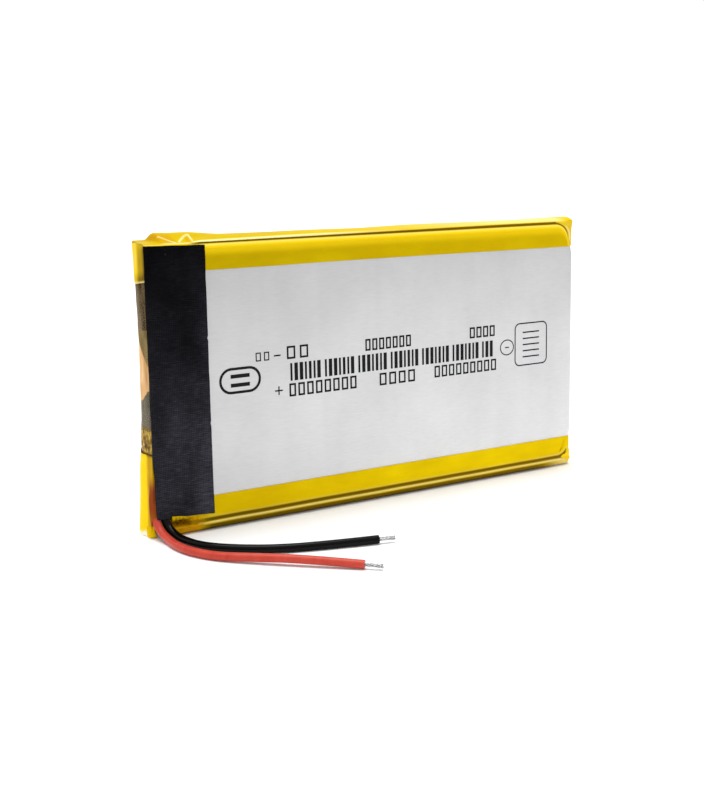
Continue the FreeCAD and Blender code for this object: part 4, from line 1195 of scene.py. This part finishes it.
def plan_normals(plan):
    out = []
    for i, (px_, py_) in enumerate(plan):
        a = plan[max(i - 1, 0)]
        b = plan[min(i + 1, len(plan) - 1)]
        tl = math.hypot(b[0] - a[0], b[1] - a[1])
        out.append((px_, py_, (b[1] - a[1]) / tl, -(b[0] - a[0]) / tl))
    return out

def end_film():
    plan = plan_normals(refine(EAR_PLAN, 6))
    verts, dense, peach, dark = [], [], [], []
    zs = [16.5 + (53.4 - 16.5) * i / 150 for i in range(151)]
    cols = []
    for x, y in ((-43.0, 5.885), (-44.5, 5.89), (-46.5, 5.89), (-48.5, 5.89)):
        cols.append(("rear", x, y, 0, 0))
    cols += [("plan",) + p for p in plan]
    for x, y in ((-54.6, -5.60), (-53.0, -5.58), (-51.0, -5.58), (-49.0, -5.60)):
        cols.append(("front", x, y, 0, 0))
    for kind, px_, py_, nx, ny in cols:
        for z in zs:
            if kind == "plan":
                x, y = end_point(py_, px_, nx, ny, z, 0.06)
                crk = max(0.0, min(1.0, (23.2 - z) / 2.0))
                n1 = fbm(py_ * 1.0, z, 0, 1.1, 3.0)
                x += nx * 0.05 * fbm(py_, z * 0.4, 0, 2.5, 1.0) + crk * 0.16 * n1 * smooth(17.2, 18.2, z) - 0.10 * crk
                x += 0.30 * (1 - smooth(17.0, 17.6, z))
                lo = lin([(-5.6, 30.2), (-3.9, 29.9), (-1.45, 27.9), (1.6, 26.9), (4, 26.6)], py_)
                hi = lin([(-5.6, 34.6), (-4.4, 35.3), (-3.3, 36.0), (-0.64, 39.1), (1.6, 41.5), (4, 43.0)], py_)
                side = smooth(-1.6, -3.4, py_)
                pe = (1 - smooth(hi - 0.35, hi + 0.35, z)) * smooth(lo - 0.15, lo + 0.15, z)
                d = max(0.10, 0.92 * pe, 0.98 * crk)
                dk = crk * max(0.0, min(1.0, 0.5 + 1.9 * fbm(py_ * 1.1 + 4, z * 0.8, 0, 2.0, 8.0) - 0.35 * abs(z - 18.6)))
                dk = max(dk, 0.45 * (1 - smooth(17.2, 17.8, z)))
                dk = min(1.0, dk + 0.30 * crk * side + 0.20 * pe * side)
            else:
                x, y, d, pe, dk = px_, py_, 0.10, 0.0, 0.0
            verts.append((x, y, z))
            dense.append(d)
            peach.append(pe)
            dark.append(dk)
    faces = grid_faces(len(cols), len(zs), flip=True)
    return make_obj("amber_film_skin", verts, faces, M["amber_film"], ("amber_end_film",),
                    attrs={"dense": dense, "peach": peach, "dark": dark})

def end_patch(name, node, mat, y0, y1, low, high, inset, shade):
    """Patch that follows the end film's inner side between y0 (front) and y1 (rear)."""
    plan = [p for p in plan_normals(refine(EAR_PLAN, 8)) if y0 <= p[1] <= y1]
    verts, tone = [], []
    n = 60
    for px_, py_, nx, ny in plan:
        a, b = low(py_), high(py_)
        for k in range(n + 1):
            z = lerp(a, b, k / n)
            x, y = end_point(py_, px_, nx, ny, z, inset)
            verts.append((x, y, z))
            tone.append(shade(py_, z))
    faces = grid_faces(len(plan), n + 1, flip=True)
    return make_obj(name, verts, faces, mat, (node[0],), attrs={"tone": tone})

film = end_film()
def cell_tone(table, y, f):
    """Tone read across y and from the patch's top (f = 0) to its foot (f = 1)."""
    a = lin([(p[0], p[1]) for p in table], y)
    b = lin([(p[0], p[2]) for p in table], y)
    return lerp(a, b, f)

def fab_tone(y, z):
    v = cell_tone([(-5.4, 0.05, 0.08), (-4.7, 0.08, 0.08), (-3.8, 0.34, 0.02), (-2.8, 0.08, 0.26), (-1.8, 0.10, 0.55),
                   (-0.8, 0.40, 0.78), (2.0, 0.50, 0.80)], y, max(0.0, min(1.0, (51.6 - z) / 7.5)))
    return max(0.0, min(1.0, v + 0.08 * fbm(y, z * 0.4, 0, 1.2, 2.0)))

def pap_tone(y, z):
    v = 0.42 + 0.20 * bump1(y, -3.4, 1.5) * (1 - smooth(39.5, 41.0, z)) - 0.26 * smooth(-2.4, -3.6, y) * smooth(40.2, 41.4, z)
    return max(0.0, min(1.0, v + 0.15 * fbm(y, z * 0.5, 0, 1.5, 5.0)))

def gry_tone(y, z):
    v = lerp(0.10, 0.50, smooth(-4.2, -2.6, y)) + 0.5 * smooth(-0.8, 0.4, y)
    v += 0.20 * bump1(y, -3.7, 0.6) * (1 - smooth(25.0, 28.0, z)) - 0.12 * smooth(28.0, 29.5, z)
    return max(0.0, min(1.0, v + 0.10 * fbm(y * 2, z * 0.3, 0, 1.2, 7.0)))

fab = end_patch("dark_patch_skin", ("board_dark_patch", "dark_fabric_patch"), M["dark_fabric_patch"], -5.7, 3.4,
                lambda y: 42.1 + 0.12 * math.sin(3 * y), lambda y: 51.6, 0.13, fab_tone)
pap = end_patch("paper_strip_skin", ("board_paper_strip", "insulation_paper"), M["insulation_paper"], -5.7, 3.2,
                lambda y: 33.6, lambda y: 42.1 + 0.12 * math.sin(3 * y), 0.15, pap_tone)
gry = end_patch("grey_patch_skin", ("board_lower_patch", "grey_patch"), M["grey_patch"], -5.7, 3.2,
                lambda y: 21.6, lambda y: 30.6, 0.14, gry_tone)

# ------------------------------------------------------------------ black tape
def black_tape():
    """Tape over the terminal pocket on the printed face, from the top of the upper band to the leads."""
    nu, nv = 56, 170
    verts, faces, edge, low = [], [], [], []
    for i in range(nu + 1):
        u = i / nu
        for j in range(nv + 1):
            v = j / nv
            zt = lerp(58.80, 58.50, u) + 0.05 * fbm(u * 13, 0, 0, 3.5, 2.0)
            zb = lin([(0.0, 4.30), (0.10, 4.12), (0.19, 4.06), (0.27, 4.42), (0.36, 4.18), (0.50, 3.95), (1.0, 3.60)], u)
            zb += 0.05 * fbm(u * 13, 0, 0, 1.2, 6.0)
            z = lerp(zb, zt, v)
            xl = -55.56 + 0.20 * (1 - v) + 0.24 * (1 - smooth(12.0, 17.0, z)) + 0.07 * fbm(0, 0, z, 5.5, 2.2) + 0.03 * fbm(0, 0, z, 1.3, 5.2)
            xr = lerp(-42.20, -42.43, v) + 0.06 * fbm(0, 0, z, 6.0, 9.2) + 0.022 * fbm(0, 0, z, 0.9, 3.9)
            xr -= 0.16 * bump1(z, 39.8, 0.5) + 0.14 * bump1(z, 22.4, 0.6)
            x = lerp(xl, xr, u)
            y = -5.925
            y -= 0.085 * (1 - smooth(7.0, 7.7, z)) + 0.085 * smooth(53.1, 53.8, z)
            sag = smooth(-54.9, -53.6, x) * (1 - smooth(-50.2, -48.3, x))
            y += sag * (0.10 + 0.10 * fbm(x, 0, z, 9, 4.0)) * smooth(8, 14, z) * (1 - smooth(52, 56, z))
            y -= 0.055 * bump1(x, -48.0, 0.9)
            y -= 0.035 * fbm(x, 0, z, 3.2, 1.0) + 0.018 * fbm(x, 0, z * 1.5, 1.3, 7.0)
            # creases
            for a, b, dep in (((-54.2, 26.2), (-46.6, 24.3), 0.07), ((-54.6, 43.6), (-49.2, 44.3), 0.05),
                              ((-52.6, 38.0), (-51.8, 30.5), 0.04), ((-53.6, 12.0), (-48.5, 9.6), 0.05)):
                d = seg_dist((x, z), a, b)
                y += dep * math.exp(-(d / 0.55) ** 2)
            # over the leads at the bottom
            lead_b = math.exp(-((x + 53.1) / 1.25) ** 2) * (1 - smooth(4.2, 7.6, z))
            lead_r = math.exp(-((x + 55.0) / 0.95) ** 2) * (1 - smooth(4.0, 7.0, z))
            y -= 0.42 * max(lead_b, lead_r)
            pk = math.exp(-((x + 50.2) / 0.9) ** 2) * (1 - smooth(4.2, 6.4, z))
            y += 0.12 * pk
            # thin curl at the free edges
            y += 0.16 * (1 - smooth(0.0, 0.35, x - xl)) - 0.03 * (1 - smooth(0.0, 0.25, xr - x))
            verts.append((x, y, z))
    faces = grid_faces(nu + 1, nv + 1)
    ob = make_obj("black_tape_skin", verts, faces, M["black_tape"], ("black_end_tape",))
    solidify(ob, 0.11, 1.0)
    return ob

black_skin = black_tape()

# ------------------------------------------------------------------ plain print on the face
def face_front(x, z):
    h = face_h(x, z)
    d = inside(x, z)
    w = smooth(1.2, 6.0, d)
    h += w * (0.035 * fbm(x, 1.7, z, 17, 1.7) + 0.018 * fbm(x * 1.0, 1.7, z * 0.5, 6, 1.7) - 0.02)
    return -(h + 0.016)

class Ink:
    def __init__(self):
        self.v, self.f = [], []
    def quad(self, pts, n=1, m=1):
        """Patch between four corners (x, z), split n by m so that it follows the face."""
        base = len(self.v)
        a, b, c, d = pts
        for i in range(n + 1):
            s = i / n
            for j in range(m + 1):
                t = j / m
                x = lerp(lerp(a[0], b[0], s), lerp(d[0], c[0], s), t)
                z = lerp(lerp(a[1], b[1], s), lerp(d[1], c[1], s), t)
                self.v.append((x, face_front(x, z), z))
        self.f += grid_faces(n + 1, m + 1, flip=True, start=base)
    def rect(self, x0, x1, z0, z1, n=1, m=1):
        self.quad(((x0, z0), (x1, z0), (x1, z1), (x0, z1)), n, m)
    def frame(self, x0, x1, z0, z1, t):
        self.rect(x0, x1, z1 - t, z1)
        self.rect(x0, x1, z0, z0 + t)
        self.rect(x0, x0 + t, z0 + t, z1 - t)
        self.rect(x1 - t, x1, z0 + t, z1 - t)
    def stroke(self, pts, w, closed=False):
        n = len(pts)
        for i in range(n if closed else n - 1):
            (xa, za), (xb, zb) = pts[i], pts[(i + 1) % n]
            l = math.hypot(xb - xa, zb - za)
            if l < 1e-6:
                continue
            wa = w[i] if hasattr(w, "__len__") else w
            wb = w[(i + 1) % n] if hasattr(w, "__len__") else w
            ux, uz = (xb - xa) / l, (zb - za) / l
            e = 0.02
            xa, za, xb, zb = xa - ux * e, za - uz * e, xb + ux * e, zb + uz * e
            self.quad(((xa + uz * wa / 2, za - ux * wa / 2), (xb + uz * wb / 2, zb - ux * wb / 2),
                       (xb - uz * wb / 2, zb + ux * wb / 2), (xa - uz * wa / 2, za + ux * wa / 2)))

def print_marks():
    ink = Ink()
    # plain strip of bars in a repeating order that stands for nothing
    x, k = -23.45, 0
    wide = (0.50, 0.86, 0.86, 0.50, 0.66, 0.50, 0.86)
    gaps = (0.48, 0.42, 0.42, 0.48, 0.48, 0.42, 1.05)
    while x < 31.0:
        w = wide[k % 7]
        ink.rect(x, min(x + w, 31.3), 29.05, 32.80, 1, 3)
        x += w + gaps[k % 7]
        k += 1
    # rows of empty frames where words would stand
    def row(x0, x1, z0, h, pitch, w, t=0.28):
        n = max(1, int(round((x1 - x0) / pitch)))
        step = (x1 - x0 - w) / max(1, n - 1)
        for i in range(n):
            a = x0 + step * i
            ink.frame(a, a + w, z0, z0 + h, t)
    row(-24.2, -19.0, 33.70, 2.75, 2.70, 2.05, 0.42)
    row(-4.6, 7.5, 33.60, 2.60, 1.75, 1.36, 0.40)
    row(23.9, 31.2, 33.80, 2.55, 2.00, 1.50, 0.40)
    row(-23.8, -7.0, 25.70, 2.80, 2.10, 1.62, 0.42)
    row(-1.0, 8.5, 25.60, 2.75, 2.35, 1.85, 0.42)
    row(13.9, 31.6, 25.80, 2.65, 2.00, 1.52, 0.40)
    row(-31.6, -28.4, 33.9, 1.85, 1.75, 1.25, 0.26)
    # pole marks
    ink.rect(-27.30, -25.70, 34.55, 34.87)
    ink.rect(-27.25, -25.35, 27.12, 27.42)
    ink.rect(-26.45, -26.15, 26.35, 28.19)
    # capsule outline with two short bars in it
    cap = []
    for cx, a0 in ((-33.2, -90), (-37.4, 90)):
        for i in range(15):
            a = math.radians(a0 + 180 * i / 14)
            cap.append((cx + 2.45 * math.cos(a), 30.45 + 2.45 * math.sin(a)))
    ink.stroke(cap, 0.56, closed=True)
    ink.rect(-37.5, -33.1, 30.95, 31.75, 3, 1)
    ink.rect(-37.5, -33.1, 29.10, 29.90, 3, 1)
    # circle, and a rounded square with a bar in it
    cp = [(34.85 + 1.95 * math.cos(2 * math.pi * i / 40), 30.75 + 1.75 * math.sin(2 * math.pi * i / 40)) for i in range(40)]
    ink.stroke(cp, 0.26, closed=True)
    ink.rect(34.25, 35.45, 30.62, 30.88)
    sq = []
    for cx, cz, a0 in ((45.6, 34.7, 0), (38.6, 34.7, 90), (38.6, 27.4, 180), (45.6, 27.4, 270)):
        for i in range(7):
            a = math.radians(a0 + 15 * i)
            sq.append((cx + 1.3 * math.cos(a), cz + 1.3 * math.sin(a)))
    ink.stroke(sq, 0.30, closed=True)
    for k in range(5):
        ink.rect(39.6, 44.6, 27.9 + 1.45 * k, 28.22 + 1.45 * k, 2, 1)
    return make_obj("plain_print", ink.v, ink.f, M["print_ink"], (), smooth=False)

marks = print_marks()

# ------------------------------------------------------------------ floor, light
def mat_floor():
    mt, nt, b = new_mat("pale_floor")
    co = obj_coords(nt)
    n1 = tex_noise(nt, co, 20, 2, 0.5)
    cr = ramp(nt, n1, [(0.3, (0.90, 0.90, 0.90)), (0.7, (0.93, 0.93, 0.93))])
    to(nt, cr, b, "Base Color")
    b.inputs["Roughness"].default_value = 0.8
    b.inputs["Specular IOR Level"].default_value = 0.2
    return mt

bpy.ops.mesh.primitive_plane_add(size=8.0, location=(0, 1.0, 0))
floor = bpy.context.object
floor.name = "floor"
floor.data.materials.append(mat_floor())

world = bpy.data.worlds.new("studio")
scene.world = world
world.use_nodes = True
wn = world.node_tree
wn.nodes.clear()
wo = wn.nodes.new("ShaderNodeOutputWorld")
bg = wn.nodes.new("ShaderNodeBackground")
wn.links.new(bg.outputs[0], wo.inputs[0])
tc = wn.nodes.new("ShaderNodeTexCoord")
sep = wn.nodes.new("ShaderNodeSeparateXYZ")
wn.links.new(tc.outputs["Generated"], sep.inputs[0])
wr = wn.nodes.new("ShaderNodeValToRGB")
wr.color_ramp.elements[0].position = 0.0
wr.color_ramp.elements[0].color = (0.55, 0.56, 0.58, 1)
wr.color_ramp.elements[1].position = 0.65
wr.color_ramp.elements[1].color = (1.0, 1.0, 1.0, 1)
wn.links.new(sep.outputs[2], wr.inputs[0])
lp = wn.nodes.new("ShaderNodeLightPath")
mx = wn.nodes.new("ShaderNodeMix")
mx.data_type = "RGBA"
wn.links.new(lp.outputs["Is Camera Ray"], mx.inputs[0])
wn.links.new(wr.outputs[0], mx.inputs[6])
mx.inputs[7].default_value = (1.15, 1.15, 1.15, 1)
wn.links.new(mx.outputs[2], bg.inputs[0])
bg.inputs[1].default_value = 0.92

def sun(name, direction, strength, angle, color=(1, 1, 1)):
    l = bpy.data.lights.new(name, "SUN")
    l.energy = strength
    l.angle = math.radians(angle)
    l.color = color
    o = bpy.data.objects.new(name, l)
    scene.collection.objects.link(o)
    d = Vector(direction).normalized()
    o.rotation_mode = "QUATERNION"
    o.rotation_quaternion = d.to_track_quat("-Z", "Y")
    return o

sun("top_soft", (0.06, -0.10, -1.0), 2.3, 42)
